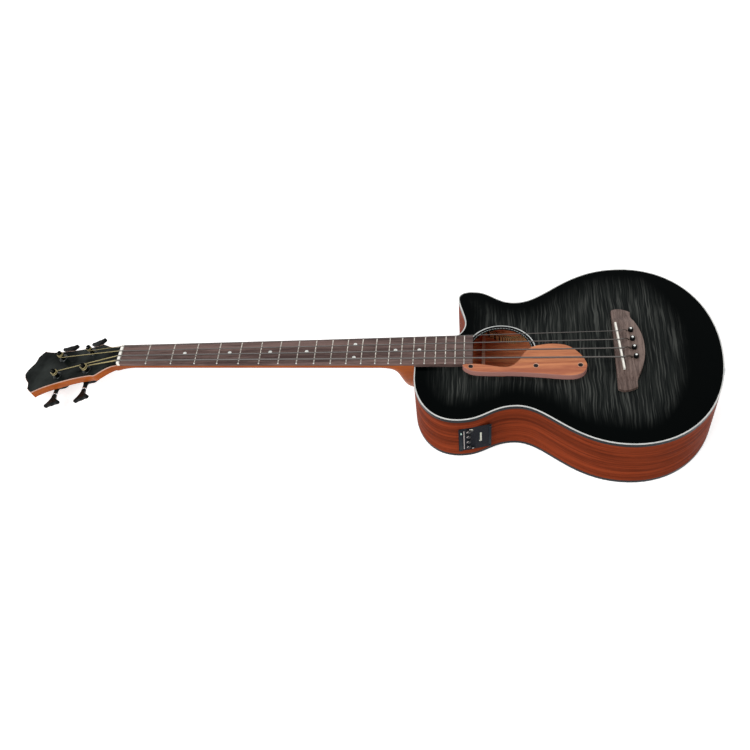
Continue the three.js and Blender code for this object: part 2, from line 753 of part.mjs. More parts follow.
function makeNeck() {
  const end = neck.toBody + overrun;
  const slim = (x) => neck.nutDepth + ((neck.bodyDepth - neck.nutDepth) * x) / heelFrom;
  const shaft = [-nut.length, 0, heelFrom / 4, heelFrom / 2].map((x) => (
    neckRing(x, boardHalfWidth(Math.max(x, 0)), slim(Math.max(x, 0)))
  ));
  const heel = heelShares.map(([along, deep]) => {
    const x = heelFrom + along * (end - heelFrom);
    const depth = neck.bodyDepth + deep * (heelDepth - neck.bodyDepth);
    return neckRing(x, boardHalfWidth(x), depth, heelFlat);
  });
  const toHead = throatShares.map(([along, deep]) => {
    const place = neckRing(0, boardHalfWidth(0), deep * neck.nutDepth);
    const move = new THREE.Matrix4().copy(headIn)
      .multiply(new THREE.Matrix4().makeTranslation(-along * head.length, 0, -head.veneer - 2 * glue));
    return place.map((point) => point.applyMatrix4(move));
  });
  const spine = loft([...toHead, ...shaft, ...heel]);

  const wood = prism(shapeOf(headOutline()), -head.thickness, -head.veneer - glue);
  const slab = cut(wood, ...headHoles(bushing.radius + glue)).applyMatrix4(headIn);
  const rodEnd = neck.toBody - trussRod.short;
  const channel = block(trussRod.from - glue, rodEnd + glue, -trussRod.radius - glue,
    trussRod.radius + glue, -trussRod.drop - trussRod.radius - glue, overrun);
  const strapHole = strapPlace(rod(strapButton.stem + glue, -strapButton.stemLength - glue, overrun));
  const seat = strapPlace(rod(strapButton.neck + glue, 0, 4 * overrun));
  const bodyFace = block(neckEnd - glue, 0, -body.lower, body.lower, -overrun, body.tailDepth + overrun)
    .applyMatrix4(onTop.matrixWorld.clone().invert());
  const wholeNeck = cut(join(spine, slab), channel, strapHole, seat, nutSeat(), bodyFace);
  add(onTop, 'neck', wholeNeck, colours.amber);

  const veneer = prism(shapeOf(headOutline()), -head.veneer, 0);
  add(onHead, 'headstock_veneer', cut(veneer, ...headHoles(bushing.radius + glue)), colours.black);
  const rodLength = rodEnd - trussRod.from;
  const truss = rod(trussRod.radius, 0, rodLength, smallSides)
    .rotateY(Math.PI / 2)
    .translate(trussRod.from, 0, -trussRod.drop);
  add(onTop, 'truss_rod', truss, colours.steel);
}

// The ledge that the nut stands on, cleared of the headstock's wood
function nutSeat() {
  return block(-nut.length - glue, 0, -board.nutWidth, board.nutWidth, 0, boardTop);
}

// The strap button's own frame: out of the treble side of the heel
function strapPlace(geometry) {
  const x = neck.toBody - strapButton.ahead;
  const share = strapButton.drop / heelDepth;
  const y = boardHalfWidth(x) * Math.sqrt(1 - share ** 2) - glue;
  return geometry.rotateX(-Math.PI / 2).translate(x, y, -strapButton.drop);
}

// The crowned section of the fretboard between two heights, across a half width
function crownSection(halfWidth, low, top) {
  const count = board.sections;
  const across = (i) => halfWidth * ((2 * i) / count - 1);
  const fall = (y) => board.crown - Math.sqrt(board.crown ** 2 - y ** 2);
  const upper = Array.from({ length: count + 1 }, (_, i) => [across(i), top - fall(across(i))]);
  return [[-halfWidth, low], [halfWidth, low], ...upper.reverse()];
}

function fretAt(number) {
  return scaleLength * (1 - 2 ** (-number / 12));
}

function crownBar(x0, x1, inset0, low, top) {
  const rings = [x0, x1].map((x) => (
    crownSection(boardHalfWidth(x) - inset0, low, top).map(([y, z]) => new THREE.Vector3(x, y, z))
  ));
  return loft(rings);
}

function fretboard() {
  const plank = crownBar(0, boardLength, 0, glue, boardTop);
  const frets = Array.from({ length: fretCount }, (_, i) => {
    const x = fretAt(i + 1);
    return crownBar(x - fret.width / 2, x + fret.width / 2, fret.inset, boardTop - 2 * fret.sink,
      boardTop + fret.height);
  });
  add(onTop, 'fretboard', join(plank, ...frets), colours.rosewood);
}

function makeNut() {
  const rings = [-nut.length, -glue].map((x) => (
    crownSection(board.nutWidth / 2 - nut.inset, glue, boardTop + nut.rise)
      .map(([y, z]) => new THREE.Vector3(x, y, z))
  ));
  add(onTop, 'nut', cut(loft(rings), ...strings.map(nutCutter)), colours.bone);
}

// Bridge
function bridgeOutline() {
  const front = bridgeFront;
  const back = front + bridge.length;
  const half = bridge.halfWidth;
  const round = bridge.endRound;
  const path = new THREE.Shape();
  path.moveTo(front, -half + round);
  path.quadraticCurveTo((front + back) / 2 - round, -half - round, back, -half + 2 * round);
  path.lineTo(back, -bridge.wingFrom - round);
  path.bezierCurveTo(
    back + bridge.bulge / 3, -bridge.wingFrom, back + bridge.bulge, -bridge.wingFrom / 2,
    back + bridge.bulge, 0,
  );
  path.bezierCurveTo(
    back + bridge.bulge, bridge.wingFrom / 2, back + bridge.bulge / 3, bridge.wingFrom,
    back, bridge.wingFrom + round,
  );
  path.lineTo(back, half - 2 * round);
  path.quadraticCurveTo((front + back) / 2 - round, half + round, front, half - round);
  return path;
}

function wingCutters() {
  return [-1, 1].map((side) => {
    const from = bridge.wingFrom;
    const to = bridge.halfWidth + overrun;
    const step = bridge.height - bridge.wing;
    const shape = shapeOf([
      [from, bridge.height + overrun], [from, bridge.height], [from + 2 * step, bridge.wing],
      [to, bridge.wing], [to, bridge.height + overrun],
    ].map(([y, z]) => [side * y, z + glue]));
    const options = { depth: bridge.length + 2 * bridge.bulge, bevelEnabled: false };
    return new THREE.ExtrudeGeometry(shape, options)
      .rotateX(Math.PI / 2)
      .rotateZ(Math.PI / 2)
      .translate(bridgeFront - overrun, 0, 0);
  });
}

// A piece that lies along the slanted saddle
function alongSaddle(geometry) {
  return geometry.rotateZ(Math.atan(saddleSlant)).translate(scaleLength, 0, 0);
}

function makeBridge() {
  const top = glue + bridge.height;
  const floor = top - saddle.depth;
  const blank = prism(bridgeOutline(), glue, top);
  const slotHalf = saddle.width / 2 + glue;
  const slotReach = saddle.halfLength + glue;
  const slot = alongSaddle(block(-slotHalf, slotHalf, -slotReach, slotReach, floor, top + overrun));
  const holes = strings.flatMap((string) => [pinHole(string), stringCutter(string)]);
  add(onTop, 'bridge', cut(blank, slot, ...wingCutters(), ...holes), colours.walnut);

  const strip = block(-pickup.width / 2, pickup.width / 2, -saddle.halfLength, saddle.halfLength,
    floor + glue, floor + glue + pickup.height);
  add(onTop, 'pickup_strip', alongSaddle(strip), colours.steel);
  const bone = block(-saddle.width / 2, saddle.width / 2, -saddle.halfLength, saddle.halfLength,
    floor + pickup.height + 2 * glue, top + saddle.rise);
  add(onTop, 'saddle', alongSaddle(bone), colours.bone);
  strings.forEach((string, i) => {
    const shoulder = top + glue;
    const peg = turned([
      [0, shoulder - pin.length], [pin.tip, shoulder - pin.length], [pin.shank, shoulder],
      [pin.head, shoulder + pin.headHeight / 4], [pin.head, shoulder + pin.headHeight / 2],
      [pin.shank, shoulder + pin.domeShare * pin.headHeight], [0, shoulder + pin.headHeight],
    ], smallSides).translate(...pinPlace(string));
    add(onTop, `bridge_pin_${i + 1}`, cut(peg, stringCutter(string)), colours.black);
  });
}

// Tuners
function tunerSet(string, number) {
  const place = new THREE.Group();
  place.position.set(-string.reach, string.side * tuner.offset, 0);
  onHead.add(place);
  const under = -head.thickness - glue;
  const shaftZ = under - housing.depth / 2;
  const outward = string.side;
  const across = (piece) => piece.rotateX(-outward * Math.PI / 2).translate(-tuner.keyBehind, 0, shaftZ);

  const caseBox = block(-housing.behind, housing.forward, -housing.half, housing.half,
    under - housing.depth, under);
  const boss = across(rod(tuner.boss, 0, tuner.bossReach, smallSides));
  const sleeve = rod(bushing.radius, under - glue, bushing.flangeHeight + glue, smallSides);
  const flange = rod(bushing.flange, glue, bushing.flangeHeight + glue, smallSides);
  const wheelHalf = wheel.thickness / 2 + running;
  const bore = rod(post.shaft + running, shaftZ, bushing.flangeHeight + overrun, smallSides);
  const wheelRoom = rod(wheel.radius + running, shaftZ - wheelHalf, shaftZ + wheelHalf, smallSides);
  const wormRoom = across(rod(worm.radius + running, -worm.length / 2 - running, worm.length / 2 + running,
    smallSides));
  const shaftRoom = across(rod(key.shaft + running, 0, tuner.bossReach + overrun, smallSides));
  const shell = cut(join(caseBox, boss, sleeve, flange), bore, wheelRoom, wormRoom, shaftRoom);
  add(place, `tuner_housing_${number}`, shell, colours.blackMetal);

  const barrelLow = bushing.flangeHeight + glue + running;
  const spindle = turned([
    [0, shaftZ - wheel.thickness / 2], [wheel.radius, shaftZ - wheel.thickness / 2],
    [wheel.radius, shaftZ + wheel.thickness / 2], [post.shaft, shaftZ + wheel.thickness / 2],
    [post.shaft, barrelLow], [post.barrel, barrelLow], [post.barrel, post.height - post.crownHeight],
    [post.crown, post.height - post.crownHeight / 2], [post.crown, post.height], [0, post.height],
  ], smallSides);
  const slot = block(-post.crown - overrun, post.crown + overrun, -post.slot / 2, post.slot / 2,
    post.height - post.slotDepth, post.height + overrun);
  const well = rod(post.well, post.height - post.wellDepth, post.height + overrun, smallSides);
  add(place, `tuner_post_${number}`, cut(spindle, slot, well), colours.blackMetal);

  const stem = across(turned([
    [0, -worm.length / 2], [worm.radius, -worm.length / 2], [worm.radius, worm.length / 2],
    [key.shaft, worm.length / 2], [key.shaft, tuner.bossReach + glue],
    [key.collar, tuner.bossReach + glue], [key.collar, tuner.bossReach + glue + key.collarLength],
    [0, tuner.bossReach + glue + key.collarLength],
  ], smallSides));
  const wing = keyButton();
  if (outward < 0) {
    wing.rotateZ(Math.PI);
  }
  wing.rotateY(THREE.MathUtils.degToRad(string.keyTurn));
  const from = outward * (tuner.bossReach + key.collarLength);
  wing.translate(-tuner.keyBehind, from, shaftZ);
  add(place, `tuner_key_${number}`, join(stem, wing), colours.blackMetal);
}

function keyButton() {
  const half = key.width / 2 - key.bevel;
  const one = keyShares.map(([across, along]) => [across * half, along * (key.length - key.bevel)]);
  const other = one.slice(0, -1).reverse().map(([x, y]) => [-x, y]);
  const flat = key.thickness - 2 * key.bevel;
  const options = {
    depth: flat, bevelThickness: key.bevel, bevelSize: key.bevel, bevelSegments: 1,
  };
  return new THREE.ExtrudeGeometry(shapeOf([...one, ...other]), options).translate(0, 0, -flat / 2);
}

// Thumb rest
function makeThumbRest() {
  const from = neck.toBody + thumbRest.fromBody;
  const place = ([along, across]) => [
    from + along * thumbRest.length, thumbRest.bassEdge + across * thumbRest.width,
  ];
  const drawn = thumbRestShares.map(place).map(([x, y]) => new THREE.Vector2(x, y));
  const edge = new THREE.SplineCurve([...drawn, drawn[0]]).getPoints(2 * drawn.length).slice(0, -1);
  const core = inset(edge.reverse().map(({ x, y }) => [x, y]), thumbRest.bevel);
  const flat = thumbRest.height - thumbRest.bevel;
  const options = {
    depth: flat, bevelThickness: thumbRest.bevel, bevelSize: thumbRest.bevel, bevelSegments: 2,
  };
  const slab = new THREE.ExtrudeGeometry(shapeOf(core), options).translate(0, 0, glue);
  const under = block(from - overrun, from + thumbRest.length + overrun,
    thumbRest.bassEdge - overrun, thumbRest.bassEdge + thumbRest.width + overrun, -2 * overrun, glue);
  const top = glue + thumbRest.height;
  const sinks = thumbScrewShares.map(place).map(([x, y]) => (
    turned([
      [0, top - 2 * thumbScrew.depth], [thumbScrew.shank, top - 2 * thumbScrew.depth],
      [thumbScrew.shank, top - thumbScrew.depth], [thumbScrew.radius, top],
      [thumbScrew.radius, top + overrun], [0, top + overrun],
    ], smallSides).translate(x, y, 0)
  ));
  add(onTop, 'thumb_rest', cut(slab, under, ...sinks), colours.bubinga);
}

// Preamp. A place on the bass side: where it is, and a frame whose z axis points out of the side.
function sidePlace(fromBody, height) {
  const x = alongBody(fromBody);
  const slope = (halfWidthAt(x - knob.radius) - halfWidthAt(x + knob.radius)) / (2 * knob.radius);
  const group = new THREE.Group();
  group.position.set(x, -halfWidthAt(x), height);
  const outward = new THREE.Vector3(slope, -1, 0).normalize();
  group.quaternion.setFromUnitVectors(new THREE.Vector3(0, 0, 1), outward);
  group.updateMatrix();
  return group;
}

function boxFrame() {
  const from = alongBody(box.from);
  const to = alongBody(box.to);
  const chord = Math.atan2(halfWidthAt(from) - halfWidthAt(to), to - from);
  const group = new THREE.Group();
  group.position.set(from, -halfWidthAt(from), 0);
  group.rotation.z = chord;
  group.updateMatrix();
  return group;
}

function boxWidth() {
  const run = box.to - box.from;
  const fall = halfWidthAt(alongBody(box.from)) - halfWidthAt(alongBody(box.to));
  return Math.hypot(run, fall);
}

// The space of the preamp box, with room for its glue line
function boxRoom() {
  return block(-glue, boxWidth() + glue, -2 * overrun, box.depth + glue, box.low - glue, box.high + glue)
    .applyMatrix4(boxFrame().matrix);
}

function sideCutters() {
  return [boxRoom(), jackPlace(rod(jack.barrel + glue, -2 * overrun, overrun))];
}

// A curved plate on the bass side, between two distances from the wood
function onSide(low, high, from, to, bottom, top) {
  const sheet = prism(ring(-high, -low), bottom, top);
  const window = block(alongBody(from), alongBody(to), -2 * body.lower, 0, bottom - overrun, top + overrun);
  return common(sheet, window);
}

function makePreamp() {
  const shaftHoles = knob.heights.map((height) => (
    rod(knob.shaft + running, -knob.depth - running, 2 * overrun, smallSides)
      .applyMatrix4(sidePlace(knob.fromBody, height).matrix)
  ));
  const buttonHole = rod(button.radius + running, -panel.proud, 2 * overrun, smallSides)
    .applyMatrix4(sidePlace(button.fromBody, button.height).matrix);
  const windowHole = onSide(0, panel.proud + overrun, display.from - glue, display.to + glue,
    display.low - glue, display.high + glue);
  const plate = onSide(glue, panel.proud, panel.from, panel.to, panel.low, panel.high);
  add(model, 'preamp_panel', cut(plate, ...shaftHoles, buttonHole, windowHole), colours.plastic);
  const pane = onSide(glue, display.proud, display.from, display.to, display.low, display.high);
  add(model, 'preamp_display', pane, colours.glass);

  const width = boxWidth();
  const middle = (box.low + box.high) / 2;
  const frame = boxFrame();
  const core = block(0, width, 0, box.depth, box.low, box.high);
  const trayDeep = box.depth + battery.thickness + box.shelf;
  const trayHigh = middle + battery.width / 2 + glue;
  const trayLow = middle - battery.width / 2 - glue;
  const shelves = [[trayHigh, trayHigh + box.shelf], [trayLow - box.shelf, trayLow]].map(([low, high]) => (
    block(0, width, box.depth - glue, trayDeep, low, high)
  ));
  const holes = shaftHoles.map((hole) => hole.applyMatrix4(frame.matrix.clone().invert()));
  add(frame, 'preamp_box', cut(join(core, ...shelves), ...holes), colours.plastic);
  const slack = (battery.length - width) / 2;
  const cell = block(-slack, width + slack, box.depth + glue, box.depth + glue + battery.thickness,
    middle - battery.width / 2, middle + battery.width / 2);
  add(frame, 'battery', cell, colours.battery);
  model.add(frame);

  knob.heights.forEach((height, i) => {
    const place = sidePlace(knob.fromBody, height);
    const low = panel.proud + running;
    const dial = turned([
      [0, -knob.depth], [knob.shaft, -knob.depth], [knob.shaft, low], [knob.radius, low],
      [knob.radius, low + knob.skirt], [knob.crown, low + knob.height], [0, low + knob.height],
    ], smallSides);
    add(place, `preamp_knob_${i + 1}`, dial, colours.plastic);
    model.add(place);
  });
  const press = sidePlace(button.fromBody, button.height);
  const cap = rod(button.radius, button.travel + running, button.proud, smallSides);
  add(press, 'preamp_button', cap, colours.plastic);
  model.add(press);
}

// Output jack: out of the tail along +x
function jackPlace(geometry) {
  return geometry.rotateY(Math.PI / 2).translate(-neckEnd, 0, body.tailDepth / 2);
}

function addFittings() {
  const outside = glue + jack.washerLength + jack.neckLength;
  const end = outside + jack.flangeLength;
  const barrel = turned([
    [0, outside - jack.length], [jack.barrel, outside - jack.length], [jack.barrel, glue],
    [jack.washer, glue], [jack.washer, glue + jack.washerLength],
    [jack.neck, outside - jack.neckLength / 2], [jack.flange, outside], [jack.flange, end],
    [jack.bore, end], [jack.bore, end - jack.boreDepth], [0, end - jack.boreDepth],
  ]);
  add(model, 'end_pin_jack', jackPlace(barrel), colours.steel);

  const top = strapButton.length;
  const knobShape = turned([
    [0, -strapButton.stemLength], [strapButton.stem, -strapButton.stemLength], [strapButton.stem, glue],
    [strapButton.neck, glue], [strapButton.waist, top / 2], [strapButton.head, top - strapButton.lip],
    [strapButton.head, top], [0, top],
  ], smallSides);
  add(onTop, 'strap_button', strapPlace(knobShape), colours.steel);
}

bodyBox();
blocks();
braces();
backBraces();
makeNeck();
fretboard();
makeNut();
makeBridge();
addStrings();
strings.forEach((string, i) => tunerSet(string, i + 1));
makeThumbRest();
makePreamp();
addFittings();

export default model;
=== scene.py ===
"""Looks of an acoustic bass guitar lying on its back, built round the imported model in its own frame."""

import json
import math
from collections import namedtuple

import bmesh
import bpy
from mathutils import Matrix, Vector
from mathutils.geometry import interpolate_bezier
from mathutils.kdtree import KDTree


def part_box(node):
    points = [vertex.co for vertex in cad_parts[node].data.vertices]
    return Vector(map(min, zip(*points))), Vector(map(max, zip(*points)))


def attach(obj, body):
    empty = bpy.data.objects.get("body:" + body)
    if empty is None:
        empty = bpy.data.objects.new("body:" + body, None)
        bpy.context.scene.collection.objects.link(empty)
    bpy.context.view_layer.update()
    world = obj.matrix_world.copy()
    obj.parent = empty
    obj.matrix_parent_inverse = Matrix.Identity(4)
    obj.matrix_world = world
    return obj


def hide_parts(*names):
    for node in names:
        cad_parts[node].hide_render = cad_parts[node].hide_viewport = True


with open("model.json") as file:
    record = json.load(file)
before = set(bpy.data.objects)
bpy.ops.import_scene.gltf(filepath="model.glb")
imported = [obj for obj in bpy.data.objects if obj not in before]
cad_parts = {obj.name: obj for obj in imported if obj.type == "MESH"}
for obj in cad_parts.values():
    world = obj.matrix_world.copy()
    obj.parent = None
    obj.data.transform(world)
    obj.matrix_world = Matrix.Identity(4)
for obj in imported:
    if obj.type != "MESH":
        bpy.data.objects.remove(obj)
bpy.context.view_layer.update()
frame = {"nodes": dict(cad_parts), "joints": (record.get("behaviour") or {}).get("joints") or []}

# Measures, in millimetres. x runs from the headstock to the tail, y to the treble side, z up
BODY_LENGTH = 477
UPPER_BOUT = 134
WAIST = 107.5
LOWER_BOUT = 179
SHOULDER = 46
NECK_DEPTH = 94
TAIL_DEPTH = 106.5
RIB = 2.3
TOP = 3.2
BACK = 3
EDGE_HEIGHT = 6
EDGE_WIDTH = 2.2
DARK_BAND = 7.2
WHITE_WIDTH = 2.0
WHITE_HEIGHT = 1.0
NECK_TO_BODY = 492
BOARD_LENGTH = NECK_TO_BODY + 92.7
NUT_WIDTH = 42
BOARD_SPREAD = 18
BOARD_THICKNESS = 8
BOARD_CROWN = 400
SCALE_LENGTH = 812.8
GLUE = 0.3
BRIDGE_TOP = GLUE + 9.5
BRIDGE_PLATE = 3
HOLE_RADIUS = 50
HOLE_FROM_BODY = 136.6
NUT_LENGTH = 5.2
HEAD_LENGTH = 193.5
HEAD_HALF = 46.5
HEAD_THICKNESS = 15
HEAD_JOIN = 40
PLY = 1.6
SADDLE_SLANT = 0.0745
SADDLE_RISE = 5.2
NUT_PITCH = 10.5
SADDLE_PITCH = 18
STRING_ROOM = 0.35
WINDING_POINTS = 91
WINDING_SHARE = 0.68
CURVE_STEPS = 20
INLAYS = 70
CUTS_ALONG = range(-230, 236, 11)
CUTS_ACROSS = range(-170, 176, 10)

Course = namedtuple("Course", "name radius lane reach side key_turn")
STRINGS = (
    Course("e", 1.33, -1.5, 59, -1, -13),
    Course("a", 1.08, -0.5, 118.5, -1, -9),
    Course("d", 0.83, 0.5, 118.5, 1, -4),
    Course("g", 0.57, 1.5, 59, 1, -12),
)
TUNER_OFFSET = 19.3
KEY_BEHIND = 12.5
KEY_FROM = 22.9
KEY_HALF = 16.4
KEY_LENGTH = 22.9
POST_RADIUS = 3.5
POST_HOLE = 5.5
PIN_BEHIND = 21
PIN_ASIDE = 5
NECK_RISE = 3
POST_TOP = 16.8
CROWN = 1.6
NECK_AT_NUT = 13.8
NECK_AT_BODY = 17.2
HEEL_FLAT = NECK_DEPTH - 14
REST_FROM = NECK_TO_BODY + 77
REST_LENGTH = 192
REST_WIDTH = 64.5
PANEL_FROM = 72
PANEL_TO = 120


def shift(x, y=0, z=0):
    return Matrix.Translation((x, y, z))


def roll(axis, angle):
    return Matrix.Rotation(angle, 4, axis)


# Frames that pieces are placed in: the soundboard's starts under the nut, the headstock's on its face
RISE = (TAIL_DEPTH - NECK_DEPTH) / BODY_LENGTH
TILT = math.atan(RISE)
NECK_END = -BODY_LENGTH / 2
NUT_X = NECK_END - NECK_TO_BODY * math.cos(TILT)
ROW = Matrix.Identity(4)
METRES = Matrix.Scale(0.001, 4)
HOLE_X = NUT_X + (NECK_TO_BODY + HOLE_FROM_BODY) * math.cos(TILT)
ON_TOP = shift(NUT_X, 0, NECK_DEPTH - NECK_TO_BODY * math.sin(TILT)) @ roll("Y", -TILT)
BOARD_TOP = GLUE + BOARD_THICKNESS
HEAD_IN = shift(-NUT_LENGTH - GLUE, 0, BOARD_TOP - 3.5) @ roll("Y", -math.radians(14))
ON_HEAD = ON_TOP @ HEAD_IN


# Plan curves
def along_body(share):
    return NECK_END + share * BODY_LENGTH


def bezier_run(stretches):
    """The points of joined curves, each given as its start, the pulls at its two ends and its stop."""
    points = []
    for start, leave, meet, stop in stretches:
        first, last = Vector((*start, 0)), Vector((*stop, 0))
        corners = (first, first + Vector((*leave, 0)), last + Vector((*meet, 0)), last)
        points += [(p.x, p.y) for p in interpolate_bezier(*corners, CURVE_STEPS + 1)[:-1]]
    return points


def body_outline():
    tail = (-NECK_END, 0)
    upper = (along_body(0.148), -UPPER_BOUT)
    waist = (along_body(0.338), -WAIST)
    lower = (along_body(0.693), -LOWER_BOUT)
    far_waist = (waist[0], WAIST)
    far_lower = (lower[0], LOWER_BOUT)
    up, low = waist[0] - upper[0], lower[0] - waist[0]
    out = 0.58 * (tail[0] - lower[0])
    horn = (along_body(0.184), UPPER_BOUT)
    tip = (along_body(0.14), 0.887 * UPPER_BOUT)
    hollow = (along_body(0.166), 0.476 * UPPER_BOUT)
    throat = (along_body(0.101), 0.239 * UPPER_BOUT)
    back_up = waist[0] - horn[0]
    shoulder = (NECK_END, -SHOULDER)
    bass = [
        (shoulder, (0, -0.49 * (UPPER_BOUT - SHOULDER)), (-0.66 * (upper[0] - NECK_END), 0), upper),
        (upper, (0.48 * up, 0), (-0.46 * up, 0), waist),
        (waist, (0.28 * low, 0), (-0.53 * low, 0), lower),
        (lower, (out, 0), (0, -0.6 * LOWER_BOUT), tail),
    ]
    treble = [
        (tail, (0, 0.6 * LOWER_BOUT), (out, 0), far_lower),
        (far_lower, (-0.53 * low, 0), (0.28 * low, 0), far_waist),
        (far_waist, (-0.46 * back_up, 0), (0.48 * back_up, 0), horn),
        (horn, (-0.026 * BODY_LENGTH, 0), (0, 0.069 * UPPER_BOUT), tip),
        (tip, (0, -0.111 * UPPER_BOUT), (0, 0.103 * UPPER_BOUT), hollow),
        (hollow, (0, -0.13 * UPPER_BOUT), (0.041 * BODY_LENGTH, 0), throat),
    ]
    return [(NECK_END, 0)] + bezier_run(bass) + bezier_run(treble) + [throat, (NECK_END, throat[1])]


def flanked(points, closed):
    """The points with their neighbours past the ends, which an open path gets by going straight on."""
    knots = [Vector(point) for point in points]
    if closed:
        return [knots[-1], *knots, knots[0], knots[1]]
    return [2 * knots[0] - knots[1], *knots, 2 * knots[-1] - knots[-2]]


def drawn_in(points, distance, closed=True):
    """The same points moved to the left of their path, which for the body is inwards."""
    knots = flanked(points, closed)[: len(points) + 2]
    moved = []
    for before, here, after in zip(knots, knots[1:], knots[2:]):
        into = Vector((before.y - here.y, here.x - before.x)).normalized()
        out = Vector((here.y - after.y, after.x - here.x)).normalized()
        moved.append(tuple(here + (into + out) * distance / (1 + into.dot(out))))
    return moved


def smooth_run(points, steps, closed=False):
    """A smooth path through the points."""
    knots = flanked(points, closed)
    path = []
    for before, here, there, after in zip(knots, knots[1:], knots[2:], knots[3:]):
        lead = 2 * before - 5 * here + 4 * there - after
        turn = -before + 3 * here - 3 * there + after
        for t in (step / steps for step in range(steps)):
            path.append(0.5 * (2 * here + (there - before) * t + lead * t**2 + turn * t**3))
    if not closed:
        path.append(knots[-2])
    return [tuple(point) for point in path]


def circle(x, y, radius, steps):
    turns = (2 * math.pi * i / steps for i in range(steps))
    return [(x + radius * math.cos(a), y + radius * math.sin(a)) for a in turns]


OUTLINE = body_outline()
TAIL_INDEX = 1 + 4 * CURVE_STEPS


def top_at(x):
    return NECK_DEPTH + (x - NECK_END) * RISE


def under_top(drop):
    return lambda x: top_at(x) - drop


def level(height, x):
    return height(x) if callable(height) else height


# Shaping
def looped(bm, points):
    """New verts at the points, and the edges of the loop through them."""
    verts = [bm.verts.new(point) for point in points]
    return verts, [bm.edges.new(pair) for pair in zip(verts, verts[1:] + verts[:1])]


def loop_of(bm, points, height=0):
    return looped(bm, [(x, y, level(height, x)) for x, y in points])[1]


def closed_up(bm):
    """Fills the open ends and turns all faces outwards."""
    bmesh.ops.holes_fill(bm, edges=[e for e in bm.edges if e.is_boundary], sides=0)
    bmesh.ops.recalc_face_normals(bm, faces=bm.faces)
    return bm


def sliced(bm, spot, direction, drop=False):
    """Cuts the faces along a plane, and drops what lies past it where asked."""
    bmesh.ops.bisect_plane(
        bm, geom=bm.verts[:] + bm.edges[:] + bm.faces[:], dist=0.0001, plane_co=spot, plane_no=direction,
        clear_outer=drop,
    )


def thickened(bm, low):
    """Draws the faces down to a lower height, so that they become the top of a solid."""
    result = bmesh.ops.extrude_face_region(bm, geom=bm.faces[:])
    for part in result["geom"]:
        if isinstance(part, bmesh.types.BMVert):
            part.co.z = level(low, part.co.x)
    bmesh.ops.recalc_face_normals(bm, faces=bm.faces)
    return bm


def board_of(points, low, high):
    """A straight-sided board cut to a plan."""
    bm = bmesh.new()
    bm.faces.new([bm.verts.new((x, y, level(high, x))) for x, y in points])
    return thickened(bm, low)


def slab(left, right, foot, head, low, high):
    return board_of([(left, foot), (right, foot), (right, head), (left, head)], low, high)


def bar(across, along, low, high):
    """A block about the z axis, from its half widths."""
    return slab(-across, across, -along, along, low, high)


def strip_round(outer, inner, low, high):
    """A closed strip between two plans."""
    bm = bmesh.new()
    edges = loop_of(bm, outer, high) + loop_of(bm, inner, high)
    bmesh.ops.bridge_loops(bm, edges=edges)
    return thickened(bm, low)


def arrises(bm, keep, least):
    """The edges sharper than an angle whose middles pass the test, if there is one."""
    found = []
    for edge in bm.edges:
        middle = (edge.verts[0].co + edge.verts[1].co) / 2
        sharp = len(edge.link_faces) == 2 and edge.calc_face_angle(0) > math.radians(least)
        if sharp and (keep is None or keep(middle)):
            found.append(edge)
    return found


def eased(bm, keep, width, segments=3, least=30):
    """Rounds off the arrises that pass a test, or all of them without one."""
    bmesh.ops.bevel(
        bm, geom=arrises(bm, keep, least), offset=width, offset_type="OFFSET", affect="EDGES",
        segments=segments, profile=0.5, material=-1, clamp_overlap=True,
    )
    return bm


def turned(profile, steps):
    """A turned piece, from its profile of radius and height."""
    bm = bmesh.new()
    verts = [bm.verts.new((radius, 0, height)) for radius, height in profile]
    edges = [bm.edges.new(pair) for pair in zip(verts, verts[1:])]
    bmesh.ops.spin(
        bm, geom=verts + edges, cent=(0, 0, 0), axis=(0, 0, 1), angle=2 * math.pi, steps=steps,
        use_merge=True,
    )
    bmesh.ops.remove_doubles(bm, verts=bm.verts, dist=0.001)
    bmesh.ops.recalc_face_normals(bm, faces=bm.faces)
    return bm


def open_ring(section, start, sweep, steps):
    """A closed section swept part of the way round, with its ends filled."""
    bm = bmesh.new()
    verts, edges = looped(bm, [(radius, 0, height) for radius, height in section])
    placed(bm, roll("Z", start))
    bmesh.ops.spin(bm, geom=verts + edges, cent=(0, 0, 0), axis=(0, 0, 1), angle=sweep, steps=steps)
    return closed_up(bm)


def rod(radius, low, high, steps=24):
    return turned([(0, low), (radius, low), (radius, high), (0, high)], steps)


def lofted(rings):
    """A closed skin over rings of equally many points."""
    bm = bmesh.new()
    loops = [looped(bm, ring)[1] for ring in rings]
    for near, far in zip(loops, loops[1:]):
        bmesh.ops.bridge_loops(bm, edges=near + far)
    return closed_up(bm)


def placed(bm, place):
    bmesh.ops.transform(bm, matrix=place, verts=bm.verts)
    return bm


def lined(bm, inside):
    """Gives a piece's second finish to the faces whose middle passes a test."""
    for face in bm.faces:
        face.material_index = int(inside(face.calc_center_median()))
    return bm


def together(*parts):
    whole = bmesh.new()
    for part in parts:
        mesh = bpy.data.meshes.new("part")
        part.to_mesh(mesh)
        part.free()
        whole.from_mesh(mesh)
        bpy.data.meshes.remove(mesh)
    return whole


def inlaid(*groups):
    """Parts joined into one, each group of them in the next of the piece's finishes."""
    for index, group in enumerate(groups):
        for face in (face for part in group for face in part.faces):
            face.material_index = index
    return together(*(part for group in groups for part in group))


def linked(name, data):
    thing = bpy.data.objects.new(name, data)
    bpy.context.scene.collection.objects.link(thing)
    return thing


def held(name, bm):
    mesh = bpy.data.meshes.new(name)
    bm.to_mesh(mesh)
    bm.free()
    return linked(name, mesh)


